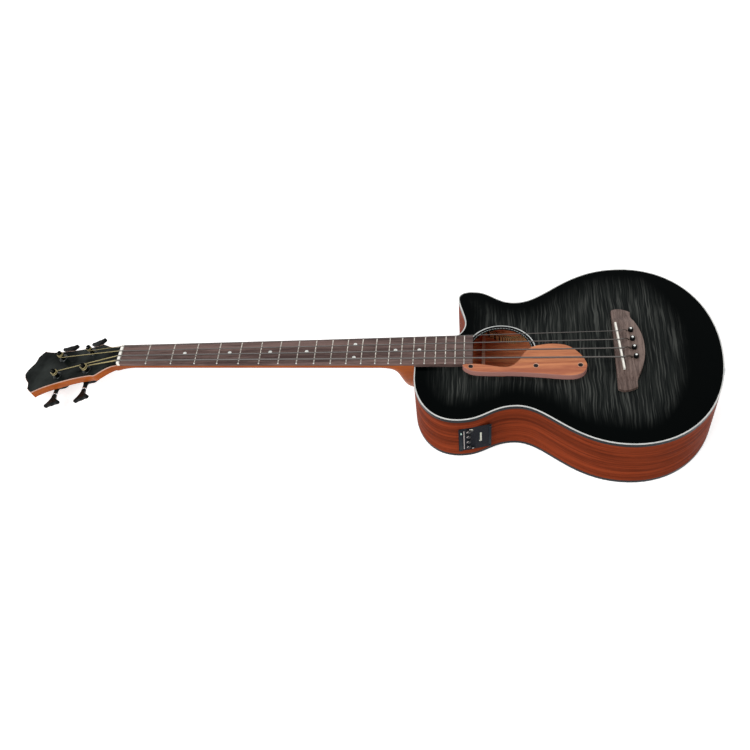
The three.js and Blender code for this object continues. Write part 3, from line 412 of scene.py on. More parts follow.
def from_object(thing):
    """The finished mesh of an object, which is then thrown away."""
    graph = bpy.context.evaluated_depsgraph_get()
    mesh = bpy.data.meshes.new_from_object(thing.evaluated_get(graph))
    bm = bmesh.new()
    bm.from_mesh(mesh)
    bpy.data.meshes.remove(mesh)
    bpy.data.objects.remove(thing)
    return bm


def carved(blank, *tools):
    """The blank with the room of each tool cut out of it in turn."""
    for bm in tools:
        stock = held("stock", blank)
        tool = held("tool", bm)
        cut = stock.modifiers.new("cut", "BOOLEAN")
        cut.operation = "DIFFERENCE"
        cut.solver = "EXACT"
        cut.object = tool
        bpy.context.view_layer.update()
        blank = from_object(stock)
        bpy.data.objects.remove(tool)
    return blank


def wire(points, radius, sides=3, thin=0):
    """A round wire along a path, whose first points can be thinner."""
    curve = bpy.data.curves.new("wire", "CURVE")
    curve.dimensions = "3D"
    curve.bevel_depth = radius
    curve.bevel_resolution = sides
    curve.use_fill_caps = True
    spline = curve.splines.new("POLY")
    spline.points.add(len(points) - 1)
    for knot, point in zip(spline.points, points):
        knot.co = (*point, 1)
    for knot in spline.points[:thin]:
        knot.radius = WINDING_SHARE
    thing = linked("wire", curve)
    bpy.context.view_layer.update()
    bm = from_object(thing)
    bmesh.ops.remove_doubles(bm, verts=bm.verts, dist=0.0005)
    bmesh.ops.recalc_face_normals(bm, faces=bm.faces)
    return bm


def piece(name, bm, place, finishes, nodes, body="guitar", crease=35):
    """Puts a finished piece in its place on a body, in metres, instead of the CAD nodes it's made from."""
    placed(bm, METRES @ place)
    thing = held(name, bm)
    for finish in finishes:
        thing.data.materials.append(finish)
    thing.data.shade_smooth()
    thing.data.set_sharp_from_angle(angle=math.radians(crease))
    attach(thing, body)
    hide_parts(*nodes)


# Finishes
def paint(red, green, blue):
    """A colour for the shaders, from its values on a screen."""
    shares = (value / 255 for value in (red, green, blue))
    return tuple(s / 12.92 if s <= 0.04045 else ((s + 0.055) / 1.055) ** 2.4 for s in shares) + (1.0,)


def feed(sockets, values):
    """Gives each socket its number or colour, or links to it what runs into it."""
    for name, value in values.items():
        if isinstance(value, bpy.types.NodeSocket):
            value.id_data.links.new(value, sockets[name])
        else:
            sockets[name].default_value = value


def node(tree, kind, **settings):
    made = tree.nodes.new(kind)
    for name, value in settings.items():
        setattr(made, name, value)
    return made


def fed(kind, values, **settings):
    """A new node in the tree of what runs into it."""
    tree = next(value.id_data for value in values.values() if isinstance(value, bpy.types.NodeSocket))
    made = node(tree, kind, **settings)
    feed(made.inputs, values)
    return made


def noise(vector, scale, detail, roughness=0.55, distortion=0):
    values = {"Scale": scale, "Detail": detail, "Roughness": roughness, "Distortion": distortion}
    return fed("ShaderNodeTexNoise", {"Vector": vector, **values}).outputs["Fac"]


def ramped(value, low, high, to_low=0, to_high=1):
    values = {"Value": value, "From Min": low, "From Max": high, "To Min": to_low, "To Max": to_high}
    return fed("ShaderNodeMapRange", values, interpolation_type="SMOOTHSTEP").outputs["Result"]


def maths(operation, first, *others):
    """A sum, a product or the like of two or more values, taken from left to right."""
    for other in others:
        made = fed("ShaderNodeMath", {0: first, 1: other}, operation=operation)
        first = made.outputs["Value"]
    return first


def total(*values):
    return maths("ADD", *values)


def product(*values):
    return maths("MULTIPLY", *values)


def blended(share, first, second, kind="MIX"):
    """One colour over another by a share."""
    values = {0: share, 6: first, 7: second}
    return fed("ShaderNodeMix", values, data_type="RGBA", blend_type=kind).outputs[2]


def clouded(vector, scale, first, second):
    """A colour that drifts towards another in soft clouds."""
    drift = ramped(noise(vector, scale, 4), 0.35, 0.7)
    return blended(drift, paint(*first), paint(*second))


def axes(vector):
    return fed("ShaderNodeSeparateXYZ", {"Vector": vector}).outputs


def stretched(vector, scale, turn):
    """The coordinates scaled, and turned about z by degrees."""
    values = {"Vector": vector, "Scale": scale, "Rotation": (0, 0, math.radians(turn))}
    return fed("ShaderNodeMapping", values).outputs["Vector"]


def teeth(vector, per_radian):
    """A value that climbs from 0 to 1 over and over round the z axis."""
    spot = axes(vector)
    turn = product(maths("ARCTAN2", spot["Y"], spot["X"]), per_radian)
    return maths("FRACT", turn, 0)


def effect(name, takes, gives):
    """A shader group with named sockets."""
    tree = bpy.data.node_groups.new(name, "ShaderNodeTree")
    for way, sockets in (("INPUT", takes), ("OUTPUT", gives)):
        for label, kind in sockets.items():
            tree.interface.new_socket(label, in_out=way, socket_type=f"NodeSocket{kind}")
    return tree, node(tree, "NodeGroupInput").outputs, node(tree, "NodeGroupOutput").inputs


def wood_grain():
    """Streaks and pores of wood whose fibres run where the incoming coordinates are stretched least."""
    takes = {"Vector": "Vector", "Light": "Color", "Dark": "Color", "Contrast": "Float", "Pores": "Float"}
    tree, given, out = effect("wood_grain", takes, {"Color": "Color", "Height": "Float"})
    broad = noise(given["Vector"], 0.35, 2, 0.5, 0.4)
    streak = noise(given["Vector"], 1.6, 5, 0.6, 0.8)
    fine = noise(given["Vector"], 6, 6, 0.7, 0.3)
    weight = total(product(broad, 0.45), product(streak, 0.55), product(fine, 0.25))
    weight = ramped(weight, 0.48, 0.78)
    tone = blended(product(weight, given["Contrast"]), given["Light"], given["Dark"])
    pores = ramped(noise(given["Vector"], 14, 3, 0.5), 0.56, 0.7)
    depth = product(pores, given["Pores"])
    colour = blended(depth, tone, given["Dark"], "MULTIPLY")
    height = maths("SUBTRACT", product(weight, 0.4), depth)
    feed(out, {"Color": colour, "Height": height})
    return tree


def handling():
    """Small changes of gloss where hands and cloths have been."""
    takes = {"Vector": "Vector", "Roughness": "Float", "Change": "Float"}
    tree, given, out = effect("handling", takes, {"Roughness": "Float", "Height": "Float"})
    smear = ramped(noise(given["Vector"], 28, 5, 0.6, 0.5), 0.35, 0.7, -0.5, 0.5)
    grit = noise(given["Vector"], 900, 2)
    gloss = total(given["Roughness"], product(smear, given["Change"]))
    height = total(product(smear, 0.3), product(grit, 0.2))
    feed(out, {"Roughness": gloss, "Height": height})
    return tree


WOOD_GRAIN = wood_grain()
HANDLING = handling()


def finish(name, metallic=0.0, specular=0.5):
    """A bare material and its object coordinates."""
    material = bpy.data.materials.new(name)
    material.use_nodes = True
    tree = material.node_tree
    values = {"Metallic": metallic, "Specular IOR Level": specular}
    feed(tree.nodes["Principled BSDF"].inputs, values)
    return material, node(tree, "ShaderNodeTexCoord").outputs["Object"]


def surfaced(material, vector, colour, roughness, change, height=None, *, bump, depth=0.0004):
    """The material with its colour, its roughness from handling and a bump of the given height."""
    values = {"Vector": vector, "Roughness": roughness, "Change": change}
    marks = fed("ShaderNodeGroup", values, node_tree=HANDLING).outputs
    values = {"Strength": bump, "Distance": depth, "Height": height or marks["Height"]}
    relief = fed("ShaderNodeBump", values).outputs["Normal"]
    values = {"Base Color": colour, "Roughness": marks["Roughness"], "Normal": relief}
    feed(material.node_tree.nodes["Principled BSDF"].inputs, values)
    return material


def grained(vector, light, dark, stretch, contrast, pores, turn=0):
    """The colour and height of wood grain, which is long where its stretch is small."""
    values = {
        "Vector": stretched(vector, stretch, turn), "Light": paint(*light), "Dark": paint(*dark),
        "Contrast": contrast, "Pores": pores,
    }
    return fed("ShaderNodeGroup", values, node_tree=WOOD_GRAIN).outputs


def wood(name, light, dark, stretch, contrast, pores, roughness, specular, turn=0):
    material, vector = finish(name, specular=specular)
    grain = grained(vector, light, dark, stretch, contrast, pores, turn)
    colour, height = grain["Color"], grain["Height"]
    return surfaced(material, vector, colour, roughness, 0.08, height, bump=0.25, depth=0.0003)


def plain(name, colour, tint, roughness, metallic=0.0, specular=0.5, cloud=60, bump=0.05):
    """Plastic, lacquer or metal whose colour drifts a little towards a second one."""
    material, vector = finish(name, metallic, specular)
    colour = clouded(vector, cloud, colour, tint)
    return surfaced(material, vector, colour, roughness, 0.1, bump=bump, depth=0.0001)


def flamed_top():
    """Black at the rim, charcoal in the middle, with pale lines across the board."""
    material, vector = finish("flamed_top", specular=0.01)
    spot = axes(vector)
    sway = product(noise(vector, 21, 2), 0.008)
    values = {"X": total(spot["X"], sway), "Y": spot["Y"]}
    swayed = fed("ShaderNodeCombineXYZ", values).outputs["Vector"]
    figures = []
    for scale, detail, distortion, low, high in (
        ((390, 12, 12), 1, 0.7, 0.47, 0.68),
        ((680, 16, 16), 1, 0.6, 0.4, 0.68),
        ((60, 12, 12), 2, 0.8, 0.34, 0.66),
    ):
        across = stretched(swayed, scale, -4)
        figures.append(ramped(noise(across, 1, detail, 0.5, distortion), low, high))
    lines, threads, bands = figures
    edge = node(vector.id_data, "ShaderNodeAttribute", attribute_name="edge_distance").outputs["Fac"]
    drift = product(noise(vector, 14, 3), 26)
    tail = ramped(spot["X"], 0.11, 0.2, 0, 28)
    lean = maths("SUBTRACT", product(spot["Y"], 40), tail)
    middle = ramped(total(edge, drift, lean), 28, 78)
    veil = total(product(bands, 0.6), 0.4)
    colour = blended(middle, paint(0, 2, 2), paint(18, 21, 21))
    colour = blended(product(threads, middle, 0.45), colour, paint(50, 53, 50))
    colour = blended(product(lines, veil, middle), colour, paint(70, 72, 69))
    return surfaced(material, vector, colour, 0.16, 0.06, bump=0.02, depth=0.0001)


def kerfed_wood():
    """Pale lining wood with a saw cut every few millimetres round the body, painted dark as shade inside
    each cut.
    """
    material, vector = finish("kerfed_wood", specular=0.3)
    cut = ramped(teeth(vector, 60), 0.6, 0.7)
    tone = clouded(vector, 120, (255, 226, 168), (244, 200, 144))
    # The saw cuts are painted dark brown: painted shade inside each cut.
    colour = blended(cut, tone, paint(60, 34, 22))
    return surfaced(material, vector, colour, 0.7, 0.1, maths("SUBTRACT", 1.0, cut), bump=0.4, depth=0.001)


def shell_ring():
    """Short shell inlays with dark gaps, round the soundhole."""
    material, vector = finish("shell_ring", specular=0.1)
    values = {"Vector": vector, "Location": (-HOLE_X / 1000, 0, 0)}
    centred = fed("ShaderNodeMapping", values).outputs["Vector"]
    gap = ramped(teeth(centred, INLAYS / (2 * math.pi)), 0.6, 0.68)
    tone = blended(noise(vector, 300, 3), paint(176, 180, 178), paint(126, 134, 132))
    colour = blended(gap, tone, paint(12, 12, 12))
    return surfaced(material, vector, colour, 0.25, 0.05, bump=0.02)


def rest_wood():
    """Tan wood with soft lengthwise streaks, and a painted sheen of pinkish grey where its surface turns
    down.
    """
    material, vector = finish("rest_wood", specular=0.08)
    grain = grained(vector, (218, 144, 100), (156, 88, 66), (5, 75, 50), 0.9, 0.1)
    upward = axes(node(vector.id_data, "ShaderNodeNewGeometry").outputs["Normal"])["Z"]
    flat = ramped(upward, 0.35, 0.97)
    # Where the surface turns down from facing up, a pinkish grey is painted over the grain: a painted sheen.
    colour = blended(flat, paint(184, 132, 122), grain["Color"])
    return surfaced(material, vector, colour, 0.36, 0.08, grain["Height"], bump=0.2, depth=0.0003)


def wound_wire():
    """String metal with the ridges of its winding, dulled by playing from the nut on."""
    material, vector = finish("string_wire", 0.75)
    along = axes(vector)["X"]
    played = ramped(along, -0.742, -0.732)
    # Darker from just past the saddle to the ball end.
    past_saddle = ramped(along, 0.086, 0.09)
    tone = blended(played, paint(170, 156, 108), paint(110, 106, 103))
    tone = blended(past_saddle, tone, paint(84, 70, 62))
    values = {"Vector": vector, "Scale": 420, "Distortion": 0.4}
    ridges = fed("ShaderNodeTexWave", values, bands_direction="X", wave_profile="SIN").outputs["Fac"]
    colour = blended(product(ridges, 0.6), tone, paint(66, 62, 60))
    return surfaced(material, vector, colour, 0.38, 0.1, ridges, bump=0.3, depth=0.0003)


TOP_LACQUER = flamed_top()
WHITE_EDGE = plain("white_edge", (212, 212, 208), (190, 192, 190), 0.3, specular=0.2)
RING_WHITE = plain("ring_white", (206, 208, 205), (180, 184, 182), 0.3, specular=0.2)
RING_BLACK = plain("ring_black", (4, 6, 6), (14, 16, 16), 0.3, specular=0.02)
BLACK_EDGE = plain("black_edge", (22, 25, 28), (34, 37, 41), 0.3, specular=0.1)
RIB_WOOD = wood("rib_wood", (150, 65, 36), (84, 34, 19), (4, 4, 150), 0.9, 0.25, 0.5, 0.01)
BACK_WOOD = wood("back_wood", (134, 60, 36), (80, 32, 18), (6, 120, 6), 1.0, 0.3, 0.28, 0.05)
INSIDE_WOOD = wood("inside_wood", (255, 172, 122), (205, 110, 74), (7, 110, 40), 1.0, 0.3, 0.6, 0.05)
BRACE_WOOD = wood("brace_wood", (188, 150, 108), (150, 112, 76), (60, 60, 60), 0.8, 0.1, 0.65, 0.15)
PALE_SPRUCE = wood("pale_spruce", (255, 214, 190), (246, 196, 168), (60, 60, 60), 0.8, 0.1, 0.65, 0.05)
SPRUCE_LONG = wood("spruce_long", (170, 128, 88), (134, 94, 60), (9, 120, 60), 0.8, 0.1, 0.65, 0.2)
KERFED = kerfed_wood()
NECK_WOOD = wood("neck_wood", (180, 94, 40), (136, 64, 28), (8, 90, 90), 0.8, 0.2, 0.26, 0.06)
# The black head face drifts to grey in broad clouds: a painted sheen, standing in for reflections in the
# lacquer.
HEAD_FACE = plain("head_face", (2, 5, 4), (46, 50, 48), 0.14, specular=0.03, cloud=15)
# The pale ply's light line along the headstock's edge is partly the ply and partly a painted highlight.
PLY_LINE_AND_PAINTED_HIGHLIGHT = plain("ply_line_and_painted_highlight", (206, 168, 150), (180, 138, 120), 0.4, specular=0.2)
BOARD_WOOD = wood("board_wood", (122, 99, 93), (70, 53, 50), (9, 170, 120), 1.0, 0.5, 0.5, 0.18)
BRIDGE_WOOD = wood("bridge_wood", (126, 107, 99), (72, 56, 51), (150, 16, 90), 1.0, 0.5, 0.5, 0.2, turn=6)
REST_WOOD = rest_wood()
BONE = plain("bone", (248, 246, 238), (238, 234, 222), 0.35, cloud=200)
PEARL = plain("pearl", (240, 241, 236), (206, 210, 204), 0.22, cloud=420)
SHELL = shell_ring()
WIRE = wound_wire()
PIN_BLACK = plain("pin_black", (8, 8, 9), (16, 16, 18), 0.2, specular=0.1)
TUNER_BLACK = plain("tuner_black", (8, 11, 10), (18, 20, 20), 0.28, specular=0.06)
BUSHING_METAL = plain("bushing_metal", (38, 40, 40), (54, 56, 56), 0.25, 1.0)
BRIGHT_METAL = plain("bright_metal", (205, 206, 208), (180, 182, 186), 0.2, 1.0)
FRET_METAL = plain("fret_metal", (196, 189, 180), (170, 164, 156), 0.3, 1.0)
# Whiter and less metallic than the frets: a painted highlight on the fret ends.
FRET_END_PAINTED_HIGHLIGHT = plain("fret_end_painted_highlight", (232, 230, 224), (214, 210, 204), 0.3, 0.2, specular=0.2)
DULL_STEEL = plain("dull_steel", (150, 152, 156), (120, 122, 126), 0.42, 1.0)
SCREW_BLACK = plain("screw_black", (24, 22, 24), (12, 11, 12), 0.4, 0.3, specular=0.2)
COPPER = plain("copper", (226, 178, 152), (204, 150, 124), 0.34, 0.3)
PANEL_PLASTIC = plain("panel_plastic", (30, 32, 37), (44, 46, 52), 0.5, specular=0.02, cloud=900, bump=0.15)
KNOB_PLASTIC = plain("knob_plastic", (22, 23, 25), (34, 35, 38), 0.34, specular=0.25)
# A white for the panel line and the button lens, and a painted highlight on the knob rims.
WHITE_MARK_AND_PAINTED_HIGHLIGHT = plain("white_mark_and_painted_highlight", (214, 206, 200), (196, 188, 184), 0.5, specular=0.2)
TICK_GREY = plain("tick_grey", (120, 118, 116), (96, 94, 92), 0.5, specular=0.1)
RAIL_PLASTIC = plain("rail_plastic", (20, 28, 38), (28, 40, 44), 0.3, specular=0.06)
# A pale white for the display window, and a painted highlight on the boss's arc.
PALE_GLASS_AND_PAINTED_HIGHLIGHT = plain("pale_glass_and_painted_highlight", (222, 222, 206), (196, 198, 182), 0.08, specular=0.4)
LAMP_GREEN = plain("lamp_green", (196, 226, 214), (166, 206, 190), 0.2)
BATTERY_CASE = plain("battery_case", (44, 44, 48), (60, 58, 58), 0.4, 0.2)


# Body box
def body_pieces():
    rim = drawn_in(OUTLINE, WHITE_WIDTH)
    bm = bmesh.new()
    edges = loop_of(bm, rim) + loop_of(bm, circle(HOLE_X, 0, HOLE_RADIUS, 96))
    bmesh.ops.triangle_fill(bm, use_beauty=True, use_dissolve=False, edges=edges)
    for x in CUTS_ALONG:
        sliced(bm, (x, 0, 0), (1, 0, 0))
    for y in CUTS_ACROSS:
        sliced(bm, (0, y, 0), (0, 1, 0))
    distance = bm.verts.layers.float.new("edge_distance")
    stations = smooth_run(OUTLINE, 4, closed=True) + [(NECK_END, -3 * i) for i in range(16)]
    tree = KDTree(len(stations))
    for i, (x, y) in enumerate(stations):
        tree.insert((x, y, 0), i)
    tree.balance()

    def from_edge(spot):
        return tree.find((spot.x, spot.y, 0))[2]

    for vert in bm.verts:
        vert[distance] = from_edge(vert.co)
        vert.co.z = top_at(vert.co.x)
    lined(thickened(bm, under_top(TOP)), lambda p: p.z < top_at(p.x) - TOP + 0.1)
    piece("top_plate", bm, ROW, [TOP_LACQUER, INSIDE_WOOD], ["soundboard"])

    white = strip_round(OUTLINE, rim, under_top(WHITE_HEIGHT), top_at)
    eased(white, lambda p: p.z > top_at(p.x) - 0.1, 0.5)
    piece("white_edge_strip", white, ROW, [WHITE_EDGE], ["top_binding"])
    inner = drawn_in(OUTLINE, EDGE_WIDTH)
    black = strip_round(OUTLINE, inner, under_top(DARK_BAND), under_top(WHITE_HEIGHT))
    piece("black_edge_strip", black, ROW, [BLACK_EDGE], ["top_binding"])
    lower = strip_round(OUTLINE, inner, 0, EDGE_HEIGHT)
    eased(lower, lambda p: p.z < 0.1, 0.9)
    piece("back_edge_strip", lower, ROW, [BLACK_EDGE], ["back_binding"])
    back = lined(board_of(inner, 0, BACK), lambda p: p.z > BACK - 0.1)
    piece("back_panel", back, ROW, [BACK_WOOD, INSIDE_WOOD], ["back_plate"])

    bass = OUTLINE[: TAIL_INDEX + 1]
    treble = OUTLINE[TAIL_INDEX:] + OUTLINE[:1]
    for name, side, cad in (("bass_rib", bass, "side_bass"), ("treble_rib", treble, "side_treble")):
        wall = side + drawn_in(side, RIB, closed=False)[::-1]
        rib = board_of(wall, EDGE_HEIGHT, under_top(DARK_BAND))
        lined(rib, lambda p: from_edge(p) > RIB - 0.5)
        piece(name, rib, ROW, [RIB_WOOD, INSIDE_WOOD], [cad])

    for name, near, far, material, slot in (
        ("rosette_white", 54.6, 56.3, RING_WHITE, "white_trim"),
        ("rosette_black", 50.95, 54.6, RING_BLACK, "black_trim"),
        ("rosette_shell", 50.15, 50.95, SHELL, "white_trim"),
    ):
        section = [(near, -1.1), (far, -1.1), (far, 0.06), (near, 0.06)]
        ring = open_ring(section, math.radians(-58), math.radians(290), 110)
        piece(name, ring, ON_TOP @ shift(NECK_TO_BODY + HOLE_FROM_BODY), [material], ["rosette"])


# Neck, headstock and fretboard
def board_half(x):
    return (NUT_WIDTH + BOARD_SPREAD * x / BOARD_LENGTH) / 2


def neck_ring(x, half, depth, flat=None, rise=NECK_RISE, power=1.0):
    """Half an ellipse under straight sides, cut flat at a depth. A low power squares it."""
    points = []
    for i in range(25):
        angle = math.pi * i / 24
        across = math.copysign(abs(math.cos(angle)) ** power, math.cos(angle))
        low = min(-depth * abs(math.sin(angle)) ** power, rise)
        points.append(Vector((x, -half * across, max(low, -flat) if flat else low)))
    return [Vector((x, -half, rise))] + points + [Vector((x, half, rise))]


def head_outline():
    shares = [
        (0.003, 0.452), (0.062, 0.456), (0.124, 0.538), (0.171, 0.645), (0.204, 0.72), (0.225, 0.738),
        (0.284, 0.697), (0.434, 0.692), (0.61, 0.753), (0.744, 0.839), (0.842, 0.957), (0.853, 1),
        (0.884, 0.892), (0.915, 0.753), (0.92, 0.624), (0.93, 0.473), (0.961, 0.323), (0.987, 0.172),
        (1, 0),
    ]
    half = [(-along * HEAD_LENGTH, across * HEAD_HALF) for along, across in shares]
    flowing = smooth_run(half[:11], 4)
    one = flowing + half[11:]
    return one + [(x, -y) for x, y in one[-2::-1]]


def head_half(along):
    """Half the headstock's width at a distance from the nut."""
    half = head_outline()
    for (x0, y0), (x1, y1) in zip(half, half[1:]):
        if x1 < -along <= x0:
            return y0 + (y1 - y0) * (-along - x0) / (x1 - x0)
    return half[0][1]


def at_post(string):
    return shift(-string.reach, string.side * TUNER_OFFSET)


def post_holes(low):
    return [placed(rod(POST_HOLE, low, 5), at_post(string)) for string in STRINGS]


def neck_pieces():
    end = NECK_TO_BODY + 5
    heel_from = NECK_TO_BODY - 54
    rings = []
    for along, power in ((HEAD_JOIN + 1, 0.14), (34, 0.15), (28, 0.16), (22, 0.18), (15, 0.2), (9, 0.24)):
        ring = neck_ring(-along, head_half(along), HEAD_THICKNESS, rise=-1.7, power=power)
        rings.append([HEAD_IN @ point for point in ring])
    rings.append(neck_ring(-7, 21, NECK_AT_NUT - 0.1, rise=2.2, power=0.36))
    squareness = ((-3, 0.5), (2, 0.68), (8, 0.86), (15, 1.02), (24, 1.15))
    for x, power in squareness + tuple((55 * i, 1.15) for i in range(1, 8)):
        along = max(x, 0)
        depth = NECK_AT_NUT + (NECK_AT_BODY - NECK_AT_NUT) * along / heel_from
        rings.append(neck_ring(x, board_half(along), depth, power=power))
    shares = [(0, 0), (0.2, 0.05), (0.34, 0.15), (0.44, 0.33), (0.52, 0.6), (0.6, 0.8), (0.72, 0.92), (1, 1)]
    for along, deep in smooth_run(shares, 4):
        x = heel_from + along * (end - heel_from)
        depth = NECK_AT_BODY + deep * (HEEL_FLAT + 4 - NECK_AT_BODY)
        rings.append(neck_ring(x, board_half(x), depth, HEEL_FLAT, power=1.15 - 0.15 * along))
    spine = placed(lofted(rings), ON_TOP)
    sliced(spine, (NECK_END - 0.1, 0, 0), (1, 0, 0), drop=True)
    eased(closed_up(spine), lambda p: p.z < 16 and p.x < NECK_END - 1, 2.5, 4, 40)
    outline = head_outline()
    half = head_half(HEAD_JOIN)
    plan = [(-HEAD_JOIN, half)] + [p for p in outline if p[0] < -HEAD_JOIN] + [(-HEAD_JOIN, -half)]
    paddle = board_of(plan, -HEAD_THICKNESS, -PLY)
    eased(paddle, lambda p: p.z < -HEAD_THICKNESS + 0.1 and p.x < -HEAD_JOIN - 0.1, 2)
    paddle = placed(carved(paddle, *post_holes(-30)), ON_HEAD)
    piece("neck_and_heel", together(spine, paddle), ROW, [NECK_WOOD], ["neck"], crease=40)

    # A pale ply layer under the black face: its light line along the edge is partly the ply and partly a
    # painted highlight.
    ply = eased(board_of(outline, -PLY, 0), lambda p: p.z > -0.05, 0.5, 2)
    face = board_of(drawn_in(outline, 0.7), -1.2, 0.05)
    for name, bm, material, slot in (
        ("head_ply", ply, PLY_LINE_AND_PAINTED_HIGHLIGHT, "neck_wood"), ("head_face", face, HEAD_FACE, "head_lacquer"),
    ):
        piece(name, carved(bm, *post_holes(-9)), ON_HEAD, [material], ["headstock_veneer"])


def crown_ring(x, half, low, top):
    upper = []
    for y in (half * (1 - i / 7) for i in range(15)):
        upper.append(Vector((x, y, top - BOARD_CROWN + math.sqrt(BOARD_CROWN**2 - y**2))))
    return [Vector((x, -half, low)), Vector((x, half, low))] + upper


def round_crown(y):
    """Turns a piece at the middle of the board round the crown's axis, to a place across it."""
    axis = BOARD_TOP - BOARD_CROWN
    return shift(0, 0, axis) @ roll("X", -math.asin(y / BOARD_CROWN)) @ shift(0, 0, -axis)


def fret_x(number):
    return SCALE_LENGTH * (1 - 2 ** (-number / 12))


def fret_wire(x):
    """One fret: its low round section swept across the crown."""
    bm = bmesh.new()
    section = [(x + 1.05 * math.cos(a), 1.1 * math.sin(a)) for a in (math.pi * i / 8 for i in range(9))]
    section += [(x - 1.05, -0.6), (x + 1.05, -0.6)]
    verts, edges = looped(bm, [(sx, 0, BOARD_TOP + sz) for sx, sz in section])
    half = board_half(x) - 0.6
    placed(bm, round_crown(-half))
    bmesh.ops.spin(
        bm, geom=verts + edges, cent=(0, 0, BOARD_TOP - BOARD_CROWN), axis=(-1, 0, 0),
        angle=2 * math.asin(half / BOARD_CROWN), steps=10,
    )
    return eased(closed_up(bm), lambda p: abs(p.y) > half - 0.4 and p.z > BOARD_TOP - 1.2, 0.35, 2, 50)


def fretboard_pieces():
    stations = [(x, GLUE + NECK_RISE) for x in (0, 160, 320, NECK_TO_BODY - 1)]
    stations += [(NECK_TO_BODY - 0.5, GLUE), (BOARD_LENGTH, GLUE)]
    plank = lofted([crown_ring(x, board_half(x), low, BOARD_TOP) for x, low in stations])
    eased(plank, lambda p: p.z > BOARD_TOP - 2 and 0.5 < p.x < BOARD_LENGTH + 1, 0.5, 3, 40)
    piece("board_plank", plank, ON_TOP, [BOARD_WOOD], ["fretboard"], crease=30)
    frets = [fret_x(number) for number in range(1, 22)]
    wires = together(*[fret_wire(x) for x in frets])
    piece("fret_wires", wires, ON_TOP, [FRET_METAL], ["fretboard"], crease=50)
    dots = []
    for number in (3, 5, 7, 9, 12, 15, 17):
        x = (fret_x(number) + fret_x(number - 1)) / 2
        for y in (-13.9, 13.9) if number == 12 else (0,):
            dot = board_of(circle(0, 0, 3, 24), BOARD_TOP - 0.6, BOARD_TOP + 0.08)
            eased(dot, lambda p: p.z > BOARD_TOP + 0.07, 0.05, 2)
            dots.append(placed(dot, round_crown(y) @ shift(x)))
    piece("position_dots", together(*dots), ON_TOP, [PEARL], ["fretboard"])
    # Bright caps at both ends of every fret: a painted highlight on the rounded fret ends.
    tips = []
    for x in frets:
        for side in (-1, 1):
            tip = turned([(0, -1.1), (0.8, -0.9), (1.25, -0.3), (1.25, 0.3), (0.8, 0.95), (0, 1.15)], 16)
            spot = round_crown(side * (board_half(x) - 1.3)) @ shift(x, 0, BOARD_TOP + 0.1)
            tips.append(placed(tip, spot))
    piece("fret_end_painted_highlights", together(*tips), ON_TOP, [FRET_END_PAINTED_HIGHLIGHT], ["fretboard"])


# Strings
def saddle_y(string):
    return string.lane * SADDLE_PITCH


def saddle_x(y):
    return SCALE_LENGTH - SADDLE_SLANT * y


def string_path(string):
    """From the loops on the post over the nut and the saddle down to the ball."""
    radius = string.radius
    nut_z = BOARD_TOP + 1.8 + radius
    at_nut = [Vector((-share * NUT_LENGTH, string.lane * NUT_PITCH, nut_z)) for share in (0.8, 0.1)]
    centre = at_post(string).to_translation().to_2d()
    to_nut = (HEAD_IN.inverted() @ at_nut[0]).to_2d() - centre
    loop = POST_RADIUS + STRING_ROOM + radius
    turn = -string.side
    first = math.atan2(to_nut.y, to_nut.x) + turn * math.acos(loop / to_nut.length)
    pitch = 2 * radius + 0.5
    low = POST_TOP - CROWN - STRING_ROOM - radius - 2.5 * pitch
    winding = []
    for turns in (i / 36 for i in range(WINDING_POINTS)):
        angle = first + turn * 2 * math.pi * turns
        round_post = centre + loop * Vector((math.cos(angle), math.sin(angle)))
        winding.append(HEAD_IN @ Vector((*round_post, low + pitch * turns)))
    y = saddle_y(string)
    at_saddle = Vector((saddle_x(y), y, BRIDGE_TOP + SADDLE_RISE + STRING_ROOM + radius))
    down = saddle_x(y) + PIN_BEHIND - 2.5 - STRING_ROOM - radius
    aside = y + PIN_ASIDE
    bends = ((1.7, 0.95), (0.75, 0.25), (0.2, -0.55), (0, -1.5))
    lip = [Vector((down - ahead * 3.7, aside, BRIDGE_TOP + above * 3.7)) for ahead, above in bends]
    end = Vector((down, aside, -(TOP + GLUE + BRIDGE_PLATE + GLUE) - 2.2))
    return winding[::-1] + at_nut + [at_saddle] + smooth_run(lip, 3) + [end]


PATHS = {string.name: string_path(string) for string in STRINGS}


def string_pieces():
    for string in STRINGS:
        name = string.name
        radius = string.radius
        path = PATHS[name]
        ball = turned([(0, -2.2), (1.9, -2.2), (2.3, -1.7), (2.3, 1.7), (1.9, 2.2), (0, 2.2)], 20)
        placed(ball, shift(*path[-1]) @ shift(radius - 2.3) @ roll("X", math.pi / 2))
        whole = together(wire(path, radius, thin=WINDING_POINTS), ball)
        piece(f"wire_{name}", whole, ON_TOP, [WIRE], [f"string_{name}"], crease=60)


def groove(string, start, stop=None):
    """The room that a string needs along a stretch of its path."""
    return wire(PATHS[string.name][start:stop], string.radius + STRING_ROOM, 2)


def nut_piece():
    top = BOARD_TOP + 2.6
    block = lofted([crown_ring(x, 20.5, GLUE, top) for x in (-NUT_LENGTH, -GLUE)])
    eased(block, lambda p: p.z > top - 1, 0.9, 4, 40)
    grooves = [groove(string, WINDING_POINTS - 1, WINDING_POINTS + 3) for string in STRINGS]
    piece("bone_nut", carved(block, *grooves), ON_TOP, [BONE], ["nut"])


# Bridge
def bridge_outline():
    front = SCALE_LENGTH - 7.8
    back = front + 29.5
    bulge = 16
    ends = ((front, -79), (back, -76))
    crest = ((front + back) / 2 - 4.5, -88)
    pulls = [[2 * (c - e) / 3 for e, c in zip(end, crest)] for end in ends]
    half = bezier_run([(ends[0], *pulls, ends[1])]) + [ends[1]]
    half += bezier_run([((back, -66), (0.1 * bulge, 13), (0, -38), (back + bulge, 0))])
    return half + [(back + bulge, 0)] + [(x, -y) for x, y in half[::-1]]


